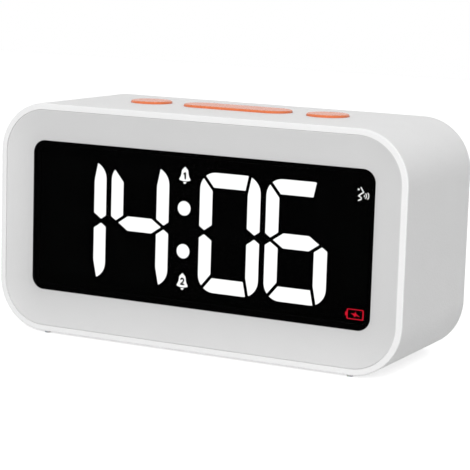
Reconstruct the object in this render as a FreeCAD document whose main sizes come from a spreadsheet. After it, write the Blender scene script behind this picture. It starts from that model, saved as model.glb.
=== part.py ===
import FreeCAD, Part
import math
import os
import re

import Sketcher
from FreeCAD import Placement, Rotation, Vector

# Desk alarm clock: a moulded sleeve with a dished front, a dark window over a four-digit LED display,
# three push buttons on top, and a rear cover that carries the speaker, the keys and the charging socket.
# Millimetres. X runs to the right of the dial, Y from the front to the back, and Z up.
# The origin lies in the plane of the feet, under the middle of the body.

# ---------------------------------------------------------------------------------------------------
# Driving dimensions: alias, value, meaning. Each alias has an underscore, so formulas can be spelled out.
# ---------------------------------------------------------------------------------------------------
DRIVING = [
    ("body_width", 143.5, "overall width of the sleeve"),
    ("face_margin", 25.8, "how much taller than its window the sleeve is"),
    ("body_depth", 52.5, "overall depth of the sleeve"),
    ("corner_radius", 16.5, "outer radius of the sleeve's four long corners"),
    ("wall_thickness", 2.0, "wall of the sleeve, and so the width of its front rim"),
    ("rim_rounding", 0.4, "rounding of the sleeve's outer end edges"),
    ("seam_gap", 0.08, "clearance all round between the sleeve and what is nested in it"),
    ("ledge_height", 1.5, "how far the two inner ledges stand in from the sleeve's wall"),
    ("ledge_thickness", 1.5, "thickness of the ledges that the bezel and the cover rest on"),
    ("foot_height", 0.8, "how far each foot stands below the sleeve"),
    ("foot_diameter", 2.0, "diameter of each foot"),
    ("foot_inset", 2.6, "from the sleeve's front or back face to the middle of a foot"),
    ("foot_spacing", 109.0, "between the feet, left to right"),
    ("foot_socket", 1.2, "depth of the blind hole that holds a foot"),
    ("bezel_step", 0.2, "how far the bezel lies behind the sleeve's rim"),
    ("bezel_thickness", 7.0, "depth of the bezel, front to back"),
    ("bezel_skin", 2.0, "wall of the bezel where it is cored out from behind"),
    ("bezel_land", 0.3, "flat edge round the bezel, outside its dish"),
    ("dish_bulge", 0.42, "how much the dish is hollowed below a straight slope, halfway in"),
    ("window_width", 121.0, "width of the window opening"),
    ("window_height", 49.2, "height of the window opening"),
    ("window_radius", 4.2, "corner radius of the window opening"),
    ("window_rise", 0.65, "how far the window lies above the middle of the sleeve"),
    ("window_recess", 2.1, "from the sleeve's front face back to the edge of the window"),
    ("lens_step", 0.25, "how far the lens lies behind the edge of the window"),
    ("lens_thickness", 1.5, "thickness of the lens"),
    ("lens_clearance", 0.1, "clearance all round the lens"),
    ("lens_chamfer", 0.15, "chamfer round the front of the lens"),
    ("seat_width", 1.5, "width of the seat behind the lens"),
    ("gasket_thickness", 0.3, "thickness of the black adhesive frame behind the lens"),
    ("display_gap", 0.25, "air between the lens and the display"),
    ("block_clearance", 0.3, "clearance all round the display block in the bezel's seat"),
    ("block_depth", 7.0, "depth of the display block"),
    ("resin_depth", 1.6, "depth of the diffusing resin in each cell"),
    ("board_thickness", 1.6, "thickness of every circuit board"),
    ("digit_width", 21.2, "width of a digit"),
    ("digit_height", 38.1, "height of a digit"),
    ("digit_corner", 5.5, "outer corner radius of a digit"),
    ("digit_pitch", 23.15, "between the digits of one pair"),
    ("pair_pitch", 55.45, "between the two pairs of digits"),
    ("stroke_width", 4.45, "width of an upright segment"),
    ("bar_height", 4.7, "height of a level segment"),
    ("segment_gap", 1.1, "dark gap between two segments"),
    ("row_offset", -5.2, "from the middle of the clock to the middle of the row of digits"),
    ("row_drop", 0.1, "how far the digits lie below the middle of the window"),
    ("colon_radius", 2.3, "radius of a colon dot"),
    ("colon_spacing", 13.7, "between the two colon dots"),
    ("bell_height", 5.3, "height of an alarm bell symbol"),
    ("bell_spacing", 33.9, "between the two alarm bell symbols"),
    ("symbol_size", 4.3, "height of the voice symbol"),
    ("symbol_offset", 56.0, "from the middle of the clock to the voice symbol"),
    ("symbol_rise", 16.65, "from the middle of the window up to the voice symbol"),
    ("charge_width", 6.25, "length of the battery symbol"),
    ("charge_offset", 54.4, "from the middle of the clock to the battery symbol"),
    ("charge_drop", 20.1, "from the middle of the window down to the battery symbol"),
    ("symbol_stroke", 0.31, "line width of the symbols"),
    ("light_well", 1.4, "diameter of the light well behind a symbol"),
    ("chip_width", 1.0, "width of an LED chip"),
    ("chip_height", 0.8, "height of an LED chip"),
    ("chip_thickness", 0.6, "thickness of an LED chip"),
    ("button_line", 2.5, "from the middle of the clock back to the row of top buttons"),
    ("button_offset", 32.0, "from the middle of the clock to each round button"),
    ("button_radius", 6.8, "radius of a round button"),
    ("snooze_length", 38.0, "length of the snooze bar"),
    ("snooze_width", 12.7, "width of the snooze bar"),
    ("button_rise", 0.75, "how far a top button stands above the sleeve"),
    ("button_travel", 0.5, "travel of every button and key"),
    ("button_clearance", 0.2, "clearance all round a button or key in its hole"),
    ("button_rounding", 0.45, "rounding of a button's top edge"),
    ("flange_width", 1.0, "how far a button's flange stands out inside the wall"),
    ("flange_thickness", 1.0, "thickness of a button's flange"),
    ("flange_gap", 0.1, "air between a button's flange and the wall"),
    ("stem_radius", 2.0, "radius of the stem under a button"),
    ("stem_length", 2.2, "length of the stem under a top button"),
    ("switch_side", 6.0, "side of a tactile switch"),
    ("switch_height", 3.5, "height of a tactile switch's case"),
    ("plunger_radius", 1.7, "radius of a tactile switch's plunger"),
    ("plunger_rise", 1.4, "how far a plunger stands out of its switch"),
    ("plunger_inside", 1.2, "length of a plunger inside its switch"),
    ("plunger_clearance", 0.08, "running clearance round a plunger"),
    ("key_board_length", 98.0, "length of the board under the top buttons"),
    ("key_board_width", 20.0, "width of the board under the top buttons"),
    ("key_post_offset", 45.0, "from the middle of the clock to the posts that carry that board"),
    ("key_post_spacing", 13.0, "between those posts, front to back"),
    ("post_radius", 3.0, "radius of the bezel's long screw posts"),
    ("post_offset", 57.5, "from the middle of the clock to a long screw post"),
    ("small_post_radius", 2.4, "radius of the posts under circuit boards"),
    ("board_post_spacing", 40.0, "between those posts, up and down"),
    ("screw_radius", 1.1, "radius of a screw's shank"),
    ("screw_head_radius", 2.1, "radius of a screw's head"),
    ("screw_head_height", 1.5, "height of a screw's head"),
    ("screw_slot", 0.6, "width of the cross in a screw's head"),
    ("screw_length", 6.0, "length of a screw's shank"),
    ("short_screw_length", 3.6, "length of the shank of a speaker screw"),
    ("cover_screw_length", 12.0, "length of the shank of a cover screw"),
    ("screw_sink", 0.3, "how far a cover screw's head lies below the cover's face"),
    ("screw_clearance", 0.2, "clearance round a screw where it passes through"),
    ("cover_thickness", 2.0, "thickness of the rear cover"),
    ("cover_recess", 0.8, "how far the rear cover lies inside the sleeve's back edge"),
    ("cover_boss_height", 6.0, "height of the cover's bosses over the long posts"),
    ("rear_key_radius", 3.8, "radius of a rear key"),
    ("rear_key_pitch", 15.0, "between the rear keys"),
    ("rear_key_first", 14.0, "from the middle of the clock to the first rear key"),
    ("rear_key_rise", 11.0, "from the middle of the sleeve up to the rear keys"),
    ("rear_stem_length", 0.6, "length of the stem under a rear key"),
    ("socket_drop", 12.0, "from the middle of the sleeve down to the charging socket"),
    ("usb_offset", 44.0, "from the middle of the clock to the charging socket"),
    ("usb_width", 8.94, "width of the charging socket's shell"),
    ("usb_height", 3.26, "height of the charging socket's shell"),
    ("usb_wall", 0.3, "wall of the charging socket's shell"),
    ("usb_clearance", 0.3, "clearance round the charging socket in the cover"),
    ("usb_base", 1.2, "thickness of the charging socket's floor"),
    ("usb_tongue_width", 6.4, "width of the tongue inside the charging socket"),
    ("usb_tongue_height", 0.7, "thickness of that tongue"),
    ("usb_setback", 0.3, "how far the socket's mouth lies inside the plug's recess"),
    ("plug_margin", 1.3, "how much wider the recess for the plug is than the socket's opening"),
    ("plug_recess", 0.8, "depth of the recess for the plug"),
    ("slider_offset", 18.0, "from the middle of the clock to the voice switch"),
    ("slider_length", 3.0, "length of the voice switch's knob"),
    ("slider_height", 2.2, "height of the voice switch's knob"),
    ("slider_travel", 2.0, "travel of the voice switch"),
    ("slider_clearance", 0.3, "clearance round the voice switch's knob"),
    ("shutter_thickness", 0.8, "thickness of the plate that closes the knob's slot from inside"),
    ("shutter_lap", 0.9, "how far that plate laps past the knob and its travel"),
    ("slide_case_length", 9.0, "length of the slide switch's case"),
    ("slide_case_height", 4.4, "height of the slide switch's case"),
    ("slide_case_depth", 4.0, "depth of the slide switch's case"),
    ("tongue_depth", 1.6, "how far the knob reaches into the slide switch"),
    ("mark_length", 3.4, "length of a bar engraved in a rear key"),
    ("mark_width", 0.8, "width of a bar engraved in a rear key"),
    ("mark_depth", 0.25, "depth of the engraving and of the grooves in the knob"),
    ("main_board_width", 74.0, "width of the main board"),
    ("main_board_height", 44.0, "height of the main board"),
    ("main_board_offset", 25.0, "from the middle of the clock to the middle of the main board"),
    ("board_margin", 3.4, "from a board's edge to the middle of its screw holes"),
    ("speaker_radius", 16.0, "radius of the speaker's rim"),
    ("speaker_offset", 38.0, "from the middle of the clock to the speaker"),
    ("speaker_rim", 1.4, "thickness of the speaker's rim"),
    ("speaker_wall", 1.2, "thickness of the wall round the speaker"),
    ("speaker_throat", 14.0, "inner radius of the speaker's rim"),
    ("basket_depth", 4.5, "depth of the speaker's basket behind its rim"),
    ("basket_wall", 1.0, "thickness of the basket's floor"),
    ("magnet_radius", 9.0, "radius of the speaker's magnet"),
    ("magnet_depth", 4.6, "depth of the speaker's magnet"),
    ("cone_margin", 0.3, "clearance round the speaker's paper cone"),
    ("cone_depth", 3.6, "depth of the paper cone"),
    ("cone_wall", 0.4, "thickness of the paper cone"),
    ("dome_radius", 4.5, "radius of the dome in the middle of the cone"),
    ("coil_radius", 4.0, "radius of the voice coil under the cone"),
    ("terminal_reach", 12.5, "from the speaker's axis to the middle of its terminal block"),
    ("terminal_side", 5.0, "side of the terminal block"),
    ("terminal_depth", 4.0, "depth of the terminal block"),
    ("clamp_lap", 1.2, "how far the clamp reaches past the speaker's rim"),
    ("foam_thickness", 0.5, "thickness of the foam ring under the speaker"),
    ("ear_reach", 3.6, "from the speaker's rim out to the clamp's screws"),
    ("clamp_thickness", 1.2, "thickness of the speaker clamp"),
    ("grille_hole", 0.85, "radius of a hole in the speaker grille"),
    ("grille_pitch", 3.1, "between the rings of holes in the speaker grille"),
    ("controller_side", 10.0, "side of the controller chip"),
    ("controller_across", 2.0, "from the middle of the main board across to the controller chip"),
    ("controller_up", 3.0, "from the middle of the main board up to the controller chip"),
    ("audio_side", 5.0, "side of the sound chip"),
    ("audio_across", -14.0, "from the middle of the main board across to the sound chip"),
    ("audio_up", -8.0, "from the middle of the main board up to the sound chip"),
    ("chip_case_height", 1.1, "height of a chip's case"),
    ("crystal_across", 14.0, "from the middle of the main board across to the crystal"),
    ("crystal_up", 12.0, "from the middle of the main board up to the crystal"),
    ("crystal_length", 10.0, "length of the quartz crystal's can"),
    ("crystal_width", 4.0, "width of the quartz crystal's can"),
    ("crystal_height", 2.6, "height of the quartz crystal's can"),
    ("capacitor_radius", 2.0, "radius of a capacitor"),
    ("capacitor_height", 3.2, "height of a capacitor"),
    ("capacitor_pitch", 7.0, "between the capacitors"),
    ("capacitor_drop", 12.0, "from the middle of the main board down to the capacitors"),
    ("cell_radius", 9.2, "radius of the lithium cell"),
    ("cell_tip", 0.8, "how far the cell's positive cap stands out"),
    ("cell_length", 65.0, "length of the lithium cell"),
    ("cell_offset", 8.0, "from the middle of the clock to the middle of the lithium cell"),
    ("cell_line", 1.0, "from the middle of the clock back to the cell's axis"),
    ("cradle_lift", 1.2, "plastic under the lithium cell"),
    ("cradle_height", 7.0, "height of the cradle"),
    ("cradle_thickness", 8.0, "thickness of each saddle of the cradle"),
    ("strap_thickness", 0.6, "thickness of the strap over the cell"),
    ("strap_width", 6.0, "width of the strap over the cell"),
    ("strap_edge", 1.0, "how far the cradle's base stands out past the strap"),
    ("fit_gap", 0.05, "clearance between two round pieces that lie against each other"),
    ("ribbon_thickness", 0.3, "thickness of a ribbon cable"),
    ("ribbon_width", 9.0, "width of a ribbon cable"),
    ("ribbon_offset", 2.0, "from the middle of the clock to the display's ribbon cable"),
    ("ribbon_sag", 3.0, "how far the display's ribbon cable hangs in the middle"),
    ("connector_depth", 2.4, "depth of a connector"),
    ("connector_height", 3.0, "height of a connector"),
    ("connector_lap", 1.0, "how far a ribbon's connector stands out beside the ribbon"),
    ("lead_radius", 0.6, "radius of a wire"),
    ("lead_pitch", 1.6, "between the two wires of a pair"),
    ("lead_bend", 6.0, "straight run of the speaker's wires before their first bend"),
    ("plug_width", 6.0, "width of a wire plug"),
    ("plug_height", 4.0, "height of a wire plug"),
    ("speaker_plug_offset", -8.0, "from the middle of the clock to the plug of the speaker's wires"),
    ("speaker_plug_drop", 10.0, "from the middle of the sleeve down to that plug"),
    ("cell_plug_offset", 46.0, "from the middle of the clock to the plug of the cell's wires"),
    ("cell_plug_drop", 16.3, "from the middle of the sleeve down to that plug"),
]

# Places worked out from the driving dimensions. Y stations first, from the front to the back, then Z.
DERIVED = [
    ("body_height", "window_height + face_margin"),
    ("front_face", "-body_depth / 2"),
    ("rear_face", "body_depth / 2"),
    ("bezel_front", "front_face + bezel_step"),
    ("bezel_back", "bezel_front + bezel_thickness"),
    ("dish_bottom", "front_face + window_recess"),
    ("lens_front", "dish_bottom + lens_step"),
    ("lens_back", "lens_front + lens_thickness"),
    ("seat_face", "lens_back + gasket_thickness"),
    ("core_floor", "dish_bottom + bezel_skin"),
    ("block_front", "lens_back + display_gap"),
    ("block_back", "block_front + block_depth"),
    ("display_board_back", "block_back + board_thickness"),
    ("cover_outer", "rear_face - cover_recess"),
    ("cover_inner", "cover_outer - cover_thickness"),
    ("post_end", "cover_inner - cover_boss_height"),
    ("cover_screw_seat", "cover_outer - screw_sink - screw_head_height"),
    ("cover_screw_end", "cover_screw_seat - cover_screw_length"),
    ("rear_flange_outer", "cover_inner - flange_gap"),
    ("rear_flange_inner", "rear_flange_outer - flange_thickness"),
    ("rear_stem_end", "rear_flange_inner - rear_stem_length"),
    ("rear_switch_top", "rear_stem_end - plunger_rise"),
    ("main_board_rear", "rear_switch_top - switch_height"),
    ("main_board_front", "main_board_rear - board_thickness"),
    ("slide_case_top", "main_board_rear + slide_case_depth"),
    ("usb_mouth", "cover_outer - plug_recess - usb_setback"),
    ("speaker_face", "cover_inner - foam_thickness"),
    ("speaker_rim_back", "speaker_face - speaker_rim"),
    ("clamp_back", "speaker_rim_back - clamp_thickness"),
    ("body_middle", "foot_height + body_height / 2"),
    ("body_top", "foot_height + body_height"),
    ("floor_top", "foot_height + wall_thickness"),
    ("ceiling_face", "body_top - wall_thickness"),
    ("window_middle", "body_middle + window_rise"),
    ("row_middle", "window_middle - row_drop"),
    ("button_top", "body_top + button_rise"),
    ("flange_top", "ceiling_face - flange_gap"),
    ("flange_bottom", "flange_top - flange_thickness"),
    ("stem_end", "flange_bottom - stem_length"),
    ("top_switch_top", "stem_end - plunger_rise"),
    ("key_board_top", "top_switch_top - switch_height"),
    ("key_board_bottom", "key_board_top - board_thickness"),
    ("rear_key_height", "body_middle + rear_key_rise"),
    ("socket_height", "body_middle - socket_drop"),
    ("bore_width", "body_width - 2 * wall_thickness"),
    ("bore_height", "body_height - 2 * wall_thickness"),
    ("bore_radius", "corner_radius - wall_thickness"),
    ("nest_width", "bore_width - 2 * seam_gap"),
    ("nest_height", "bore_height - 2 * seam_gap"),
    ("nest_radius", "bore_radius - seam_gap"),
    ("seat_opening_width", "window_width - 2 * seat_width"),
    ("seat_opening_height", "window_height - 2 * seat_width"),
    ("seat_opening_radius", "window_radius - seat_width"),
    ("post_rise", "(window_height + bore_height) / 4 + window_rise / 2"),
    ("board_post_offset", "window_width / 2 + small_post_radius + block_clearance"),
    ("cell_height", "floor_top + cradle_lift + cell_radius"),
    ("clamp_reach", "speaker_radius + ear_reach"),
]

ALIAS = re.compile(r"[a-z]+(?:_[a-z]+)+")
DRIVING_NAMES = {alias for alias, value, meaning in DRIVING}

doc = FreeCAD.newDocument("DeskAlarmClock")
sizes = doc.addObject("Spreadsheet::Sheet", "Sizes")
places = doc.addObject("Spreadsheet::Sheet", "Places")
nodes = []


# ---------------------------------------------------------------------------------------------------
# The sheets, and how a formula is read from them
# ---------------------------------------------------------------------------------------------------
def spelled(formula):
    """Writes each alias of a formula with the name of the sheet that holds it."""

    def full_name(found):
        alias = found.group(0)
        return ("Sizes." if alias in DRIVING_NAMES else "Places.") + alias

    return ALIAS.sub(full_name, str(formula))


def number(formula):
    """Works a formula out from the sheets."""
    return float(sizes.evalExpression(spelled(formula)))


def fill_sheets():
    """Enters the driving dimensions and the places that follow from them."""
    for row, (alias, value, meaning) in enumerate(DRIVING, start=1):
        sizes.set("A%d" % row, meaning)
        sizes.set("B%d" % row, str(value))
        sizes.setAlias("B%d" % row, alias)
    for row, (alias, formula) in enumerate(DERIVED, start=1):
        places.set("A%d" % row, alias.replace("_", " "))
        places.setAlias("B%d" % row, alias)
    for row, (alias, formula) in enumerate(DERIVED, start=1):
        local = spelled(formula).replace("Places.", "")
        places.set("B%d" % row, "=" + local)
    doc.recompute()


# ---------------------------------------------------------------------------------------------------
# Part primitives and booleans, bound to the sheets
# ---------------------------------------------------------------------------------------------------
TURNS = {
    "+Z": Rotation(),
    "-Z": Rotation(Vector(1, 0, 0), 180),
    "+Y": Rotation(Vector(1, 0, 0), -90),
    "-Y": Rotation(Vector(1, 0, 0), 90),
    "+X": Rotation(Vector(0, 1, 0), 90),
}


def bind(item, formulas):
    """Drives properties of an object by formulas."""
    for name, formula in formulas.items():
        item.setExpression(name, spelled(formula))


def put(item, x, y, z, axis="+Z"):
    """Places an object, with its own Z turned to the named axis."""
    item.Placement = Placement(Vector(), TURNS[axis])
    bind(item, {"Placement.Base.x": x, "Placement.Base.y": y, "Placement.Base.z": z})
    return item


def block(name, middle, size):
    """A box, given by its middle and its size."""
    item = doc.addObject("Part::Box", name)
    bind(item, dict(zip(("Length", "Width", "Height"), size)))
    return put(item, *["(%s) - (%s) / 2" % pair for pair in zip(middle, size)])


def rod(name, start, radius, length, axis="+Z"):
    """A cylinder that runs from start along the named axis."""
    item = doc.addObject("Part::Cylinder", name)
    bind(item, {"Radius": radius, "Height": length})
    return put(item, *start, axis)


def fuse(name, pieces):
    """One solid of pieces that run into each other."""
    item = doc.addObject("Part::MultiFuse", name)
    item.Shapes = pieces
    return item


def cut(name, base, tools):
    """The base with the tools taken out of it."""
    item = doc.addObject("Part::Cut", name)
    item.Base = base
    item.Tool = tools[0] if len(tools) == 1 else fuse(name + "_tools", tools)
    return item


def group(name, pieces):
    """Keeps like pieces together as separate solids."""
    item = doc.addObject("Part::Compound", name)
    item.Links = pieces
    return item


def shaped(name, shape):
    """Holds a shape that is made with Part's own functions."""
    item = doc.addObject("Part::Feature", name)
    item.Shape = shape
    return item


def node(item, label):
    """Marks an object as one of the clock's pieces."""
    item.Label = label
    nodes.append(item)
    return item


def corners(across, along, middle="0"):
    """The four corners of a rectangle, its middle at (0, middle)."""
    signs = [(i, k) for i in (-1, 1) for k in (-1, 1)]
    return [("%d * (%s)" % (i, across), "%s + %d * (%s)" % (middle, k, along)) for i, k in signs]


# ---------------------------------------------------------------------------------------------------
# PartDesign bodies: sketches with named outlines, and the features made from them
# ---------------------------------------------------------------------------------------------------
def new_body(label):
    """An empty body that is one of the clock's pieces."""
    body = doc.addObject("PartDesign::Body", "Body_" + label)
    return node(body, label)


def sketch_on(body, name, plane, offset="0"):
    """A sketch on one of the body's origin planes, moved along the plane's normal."""
    sketch = body.newObject("Sketcher::SketchObject", name)
    support = [item for item in body.Origin.OriginFeatures if item.Role == plane + "_Plane"][0]
    sketch.AttachmentSupport = (support, [""])
    sketch.MapMode = "FlatFace"
    bind(sketch, {"AttachmentOffset.Base.z": offset})
    return sketch


def upright(body, name, y):
    """A sketch that faces the front, at depth y. Its normal points to -Y."""
    return sketch_on(body, name, "XZ", "-(%s)" % y)


def level(body, name, z):
    """A sketch that faces up, at height z."""
    return sketch_on(body, name, "XY", z)


def hold(sketch, kind, geometry, formula):
    """A dimension of a sketch, bound to a formula."""
    index = sketch.addConstraint(Sketcher.Constraint(kind, *geometry, number(formula)))
    sketch.setExpression("Constraints[%d]" % index, spelled(formula))


def close_loop(sketch, first, count):
    """Joins alternate lines and arcs end to end, each tangent to the next."""
    for k in range(count):
        following = first + (k + 1) % count
        sketch.addConstraint(Sketcher.Constraint("Tangent", first + k, 2, following, 1))


def circle(sketch, x, y, radius):
    """A circle held by its radius and by its middle."""
    index = sketch.addGeometry(Part.Circle(Vector(number(x), number(y), 0), Vector(0, 0, 1), number(radius)))
    hold(sketch, "Radius", (index,), radius)
    hold(sketch, "DistanceX", (-1, 1, index, 3), x)
    hold(sketch, "DistanceY", (-1, 1, index, 3), y)


def rounded_rectangle(sketch, width, height, radius, middle="0", across="0"):
    """Four lines and four arcs; middle is the height of the outline's middle above the sketch's origin."""
    x, y = number(across), number(middle)
    half_x, half_y, r = number(width) / 2, number(height) / 2, number(radius)
    turns = [(1, -1), (1, 1), (-1, 1), (-1, -1)]
    centres = [Vector(x + i * (half_x - r), y + k * (half_y - r), 0) for i, k in turns]
    outward = [Vector(0, -r, 0), Vector(r, 0, 0), Vector(0, r, 0), Vector(-r, 0, 0)]
    first = sketch.GeometryCount
    for n in range(4):
        sketch.addGeometry(Part.LineSegment(centres[n - 1] + outward[n], centres[n] + outward[n]))
        round_corner = Part.Circle(centres[n], Vector(0, 0, 1), r)
        start = math.radians(90 * n - 90)
        sketch.addGeometry(Part.ArcOfCircle(round_corner, start, start + math.pi / 2))
    close_loop(sketch, first, 8)
    for n, kind in enumerate(("Horizontal", "Vertical", "Horizontal", "Vertical")):
        sketch.addConstraint(Sketcher.Constraint(kind, first + 2 * n))
    for n in (3, 5, 7):
        sketch.addConstraint(Sketcher.Constraint("Equal", first + 1, first + n))
    hold(sketch, "Radius", (first + 1,), radius)
    hold(sketch, "DistanceX", (first + 6, 1, first + 2, 1), width)
    hold(sketch, "DistanceY", (first, 1, first + 4, 1), height)
    hold(sketch, "DistanceX", (-1, 1, first + 2, 1), "(%s) + (%s) / 2" % (across, width))
    hold(sketch, "DistanceY", (-1, 1, first + 4, 1), "(%s) + (%s) / 2" % (middle, height))


def stadium(sketch, length, width, x, y):
    """Two lines and two half rounds, long in the sketch's X."""
    centre_x, centre_y = number(x), number(y)
    r = number(width) / 2
    half = number(length) / 2 - r
    right, left = Vector(centre_x + half, centre_y, 0), Vector(centre_x - half, centre_y, 0)
    down, up = Vector(0, -r, 0), Vector(0, r, 0)
    first = sketch.GeometryCount
    sketch.addGeometry(Part.LineSegment(left + down, right + down))
    sketch.addGeometry(Part.ArcOfCircle(Part.Circle(right, Vector(0, 0, 1), r), -math.pi / 2, math.pi / 2))
    sketch.addGeometry(Part.LineSegment(right + up, left + up))
    sketch.addGeometry(Part.ArcOfCircle(Part.Circle(left, Vector(0, 0, 1), r), math.pi / 2, 3 * math.pi / 2))
    close_loop(sketch, first, 4)
    sketch.addConstraint(Sketcher.Constraint("Horizontal", first))
    sketch.addConstraint(Sketcher.Constraint("Equal", first + 1, first + 3))
    hold(sketch, "Radius", (first + 1,), "(%s) / 2" % width)
    hold(sketch, "DistanceX", (first + 3, 3, first + 1, 3), "(%s) - (%s)" % (length, width))
    hold(sketch, "DistanceX", (-1, 1, first + 1, 3), "(%s) + ((%s) - (%s)) / 2" % (x, length, width))
    hold(sketch, "DistanceY", (-1, 1, first + 1, 3), y)


def feature(body, kind, name, sketch, length, reverse):
    """A Pad or Pocket. It must change the body's volume, because one that points away does nothing."""
    before = body.Tip.Shape.Volume if body.Tip else 0.0
    item = body.newObject("PartDesign::" + kind, name)
    item.Profile = sketch
    item.Reversed = reverse
    bind(item, {"Length": length})
    body.Tip = item
    doc.recompute()
    if abs(item.Shape.Volume - before) < 1e-6:
        raise RuntimeError("%s changes nothing" % name)
    return item


def pad(body, name, sketch, length, reverse=False):
    """Adds material along the sketch's normal: forwards from an upright sketch, or up from a level one."""
    return feature(body, "Pad", name, sketch, length, reverse)


def pocket(body, name, sketch, length, reverse=False):
    """Takes material away against the sketch's normal: backwards, or down."""
    return feature(body, "Pocket", name, sketch, length, reverse)


def edge_names(shape, wanted):
    """The names of a shape's edges that pass the test."""
    return ["Edge%d" % n for n, edge in enumerate(shape.Edges, start=1) if wanted(edge)]


def dress(body, kind, name, size, wanted):
    """A Fillet or Chamfer on the body's edges that pass the test."""
    base = body.Tip
    chosen = edge_names(base.Shape, wanted)
    if not chosen:
        raise RuntimeError("%s finds no edge" % name)
    item = body.newObject("PartDesign::" + kind, name)
    item.Base = (base, chosen)
    bind(item, {"Radius" if kind == "Fillet" else "Size": size})
    body.Tip = item
    doc.recompute()
    return item


def lies_at(axis, value):
    """Tests whether an edge lies wholly in the plane where the named coordinate has this value."""
    low, high = axis + "Min", axis + "Max"

    def test(edge):
        box = edge.BoundBox
        return abs(getattr(box, low) - value) < 1e-3 and abs(getattr(box, high) - value) < 1e-3

    return test


# ---------------------------------------------------------------------------------------------------
# Common pieces: screws, boards, switches
# ---------------------------------------------------------------------------------------------------
NEST = ("nest_width", "nest_height", "nest_radius")
BORE = ("bore_width", "bore_height", "bore_radius")
WINDOW = ("window_width", "window_height", "window_radius")
SEAT_OPENING = ("seat_opening_width", "seat_opening_height", "seat_opening_radius")


def offset(outline, growth):
    """The width, height and radius of a rounded rectangle, with each side moved out by growth."""
    return ["%s + %d * (%s)" % (size, share, growth) for size, share in zip(outline, (2, 2, 1))]


def ahead(spot, axis, distance):
    """The point at a distance from a spot, along the named axis."""
    sign, letter = axis
    moved = list(spot)
    moved["XYZ".index(letter)] += " %s (%s)" % (sign, distance)
    return tuple(moved)


def column(name, foot, axis, sides, height):
    """A box that stands on its foot along the named axis; sides are its two sizes across that axis."""
    size = list(sides)
    size.insert("XYZ".index(axis[1]), height)
    return block(name, ahead(foot, axis, "(%s) / 2" % height), size)


def screw(name, seat, axis, length):
    """A cross-head screw. Its head lies on the seat, and its shank runs on along the axis."""
    top = ahead(seat, axis, "-screw_head_height")
    shank = rod(name + "Shank", seat, "screw_radius", length, axis)
    head = rod(name + "Head", top, "screw_head_radius", "screw_head_height", axis)
    arms = ("1.3 * screw_head_radius", "screw_slot")
    cross = [column(name + "Slot", top, axis, sides, "screw_head_height / 2") for sides in (arms, arms[::-1])]
    return cut(name, fuse(name + "Blank", [head, shank]), cross)


def circuit_board(name, middle, size, axis, holes):
    """A board with a clearance hole for each screw; holes gives the two coordinates across the axis."""
    plate = block(name + "Plate", middle, size)
    k = "XYZ".index(axis[1])
    drills = []
    for hole in holes:
        start = list(hole)
        start.insert(k, middle[k])
        start = ahead(start, axis, "-board_thickness")
        radius = "screw_radius + screw_clearance"
        drills.append(rod(name + "Hole", start, radius, "2 * board_thickness", axis))
    return cut(name, plate, drills)


def push_switch(name, foot, axis):
    """A tactile switch's case, with the bore that its plunger runs in."""
    case = column(name + "Case", foot, axis, ("switch_side", "switch_side"), "switch_height")
    depth = "plunger_inside + button_travel + flange_gap"
    floor = ahead(foot, axis, "switch_height - (%s)" % depth)
    return cut(name, case, [rod(name + "Bore", floor, "plunger_radius + plunger_clearance", depth, axis)])


def plunger(label, foot, axis):
    """The plunger of the switch that stands on this foot."""
    start = ahead(foot, axis, "switch_height - plunger_inside")
    return node(rod("Rod_" + label, start, "plunger_radius", "plunger_inside + plunger_rise", axis), label)


# ---------------------------------------------------------------------------------------------------
# Sleeve and feet
# ---------------------------------------------------------------------------------------------------
def make_housing():
    """The one-piece sleeve: front rim, two inner ledges, button holes, and posts for the key board."""
    body = new_body("housing")
    outline = upright(body, "SleeveOutline", "rear_face")
    rounded_rectangle(outline, "body_width", "body_height", "corner_radius", "body_middle")
    pad(body, "Sleeve", outline, "body_depth")
    ends = (lies_at("Y", number("front_face")), lies_at("Y", number("rear_face")))
    dress(body, "Fillet", "EndRounding", "rim_rounding", lambda edge: any(test(edge) for test in ends))
    bore = upright(body, "BoreOutline", "front_face")
    rounded_rectangle(bore, *BORE, "body_middle")
    pocket(body, "Bore", bore, "body_depth")
    for name, front in (("FrontLedge", "bezel_back"), ("RearLedge", "cover_inner - ledge_thickness")):
        ring = upright(body, name + "Outline", front)
        rounded_rectangle(ring, *BORE, "body_middle")
        rounded_rectangle(ring, *offset(BORE, "-ledge_height"), "body_middle")
        pad(body, name, ring, "ledge_thickness", reverse=True)
    posts = level(body, "KeyPosts", "ceiling_face")
    pilots = level(body, "KeyPilots", "key_board_top")
    for x, y in corners("key_post_offset", "key_post_spacing / 2", "button_line"):
        circle(posts, x, y, "small_post_radius")
        circle(pilots, x, y, "screw_radius + fit_gap")
    pad(body, "KeyBoardPosts", posts, "ceiling_face - key_board_top", reverse=True)
    pocket(body, "KeyBoardPilots", pilots, "screw_length - board_thickness + fit_gap", reverse=True)
    holes = level(body, "ButtonHoles", "body_top")
    for side in (-1, 1):
        circle(holes, "%d * button_offset" % side, "button_line", "button_radius + button_clearance")
    wider = ["%s + 2 * button_clearance" % size for size in ("snooze_length", "snooze_width")]
    stadium(holes, *wider, "0", "button_line")
    pocket(body, "ButtonOpenings", holes, "wall_thickness")
    feet = level(body, "FootSockets", "foot_height")
    for x, y in corners("foot_spacing / 2", "body_depth / 2 - foot_inset"):
        circle(feet, x, y, "foot_diameter / 2 + fit_gap")
    pocket(body, "FootHoles", feet, "foot_socket", reverse=True)


def make_feet():
    """Four small rubber pips, pressed into blind holes in the sleeve's floor."""
    spots = corners("foot_spacing / 2", "body_depth / 2 - foot_inset")
    length = "foot_height + foot_socket"
    node(group("Feet", [rod("Foot", (x, y, "0"), "foot_diameter / 2", length) for x, y in spots]), "feet")


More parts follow.
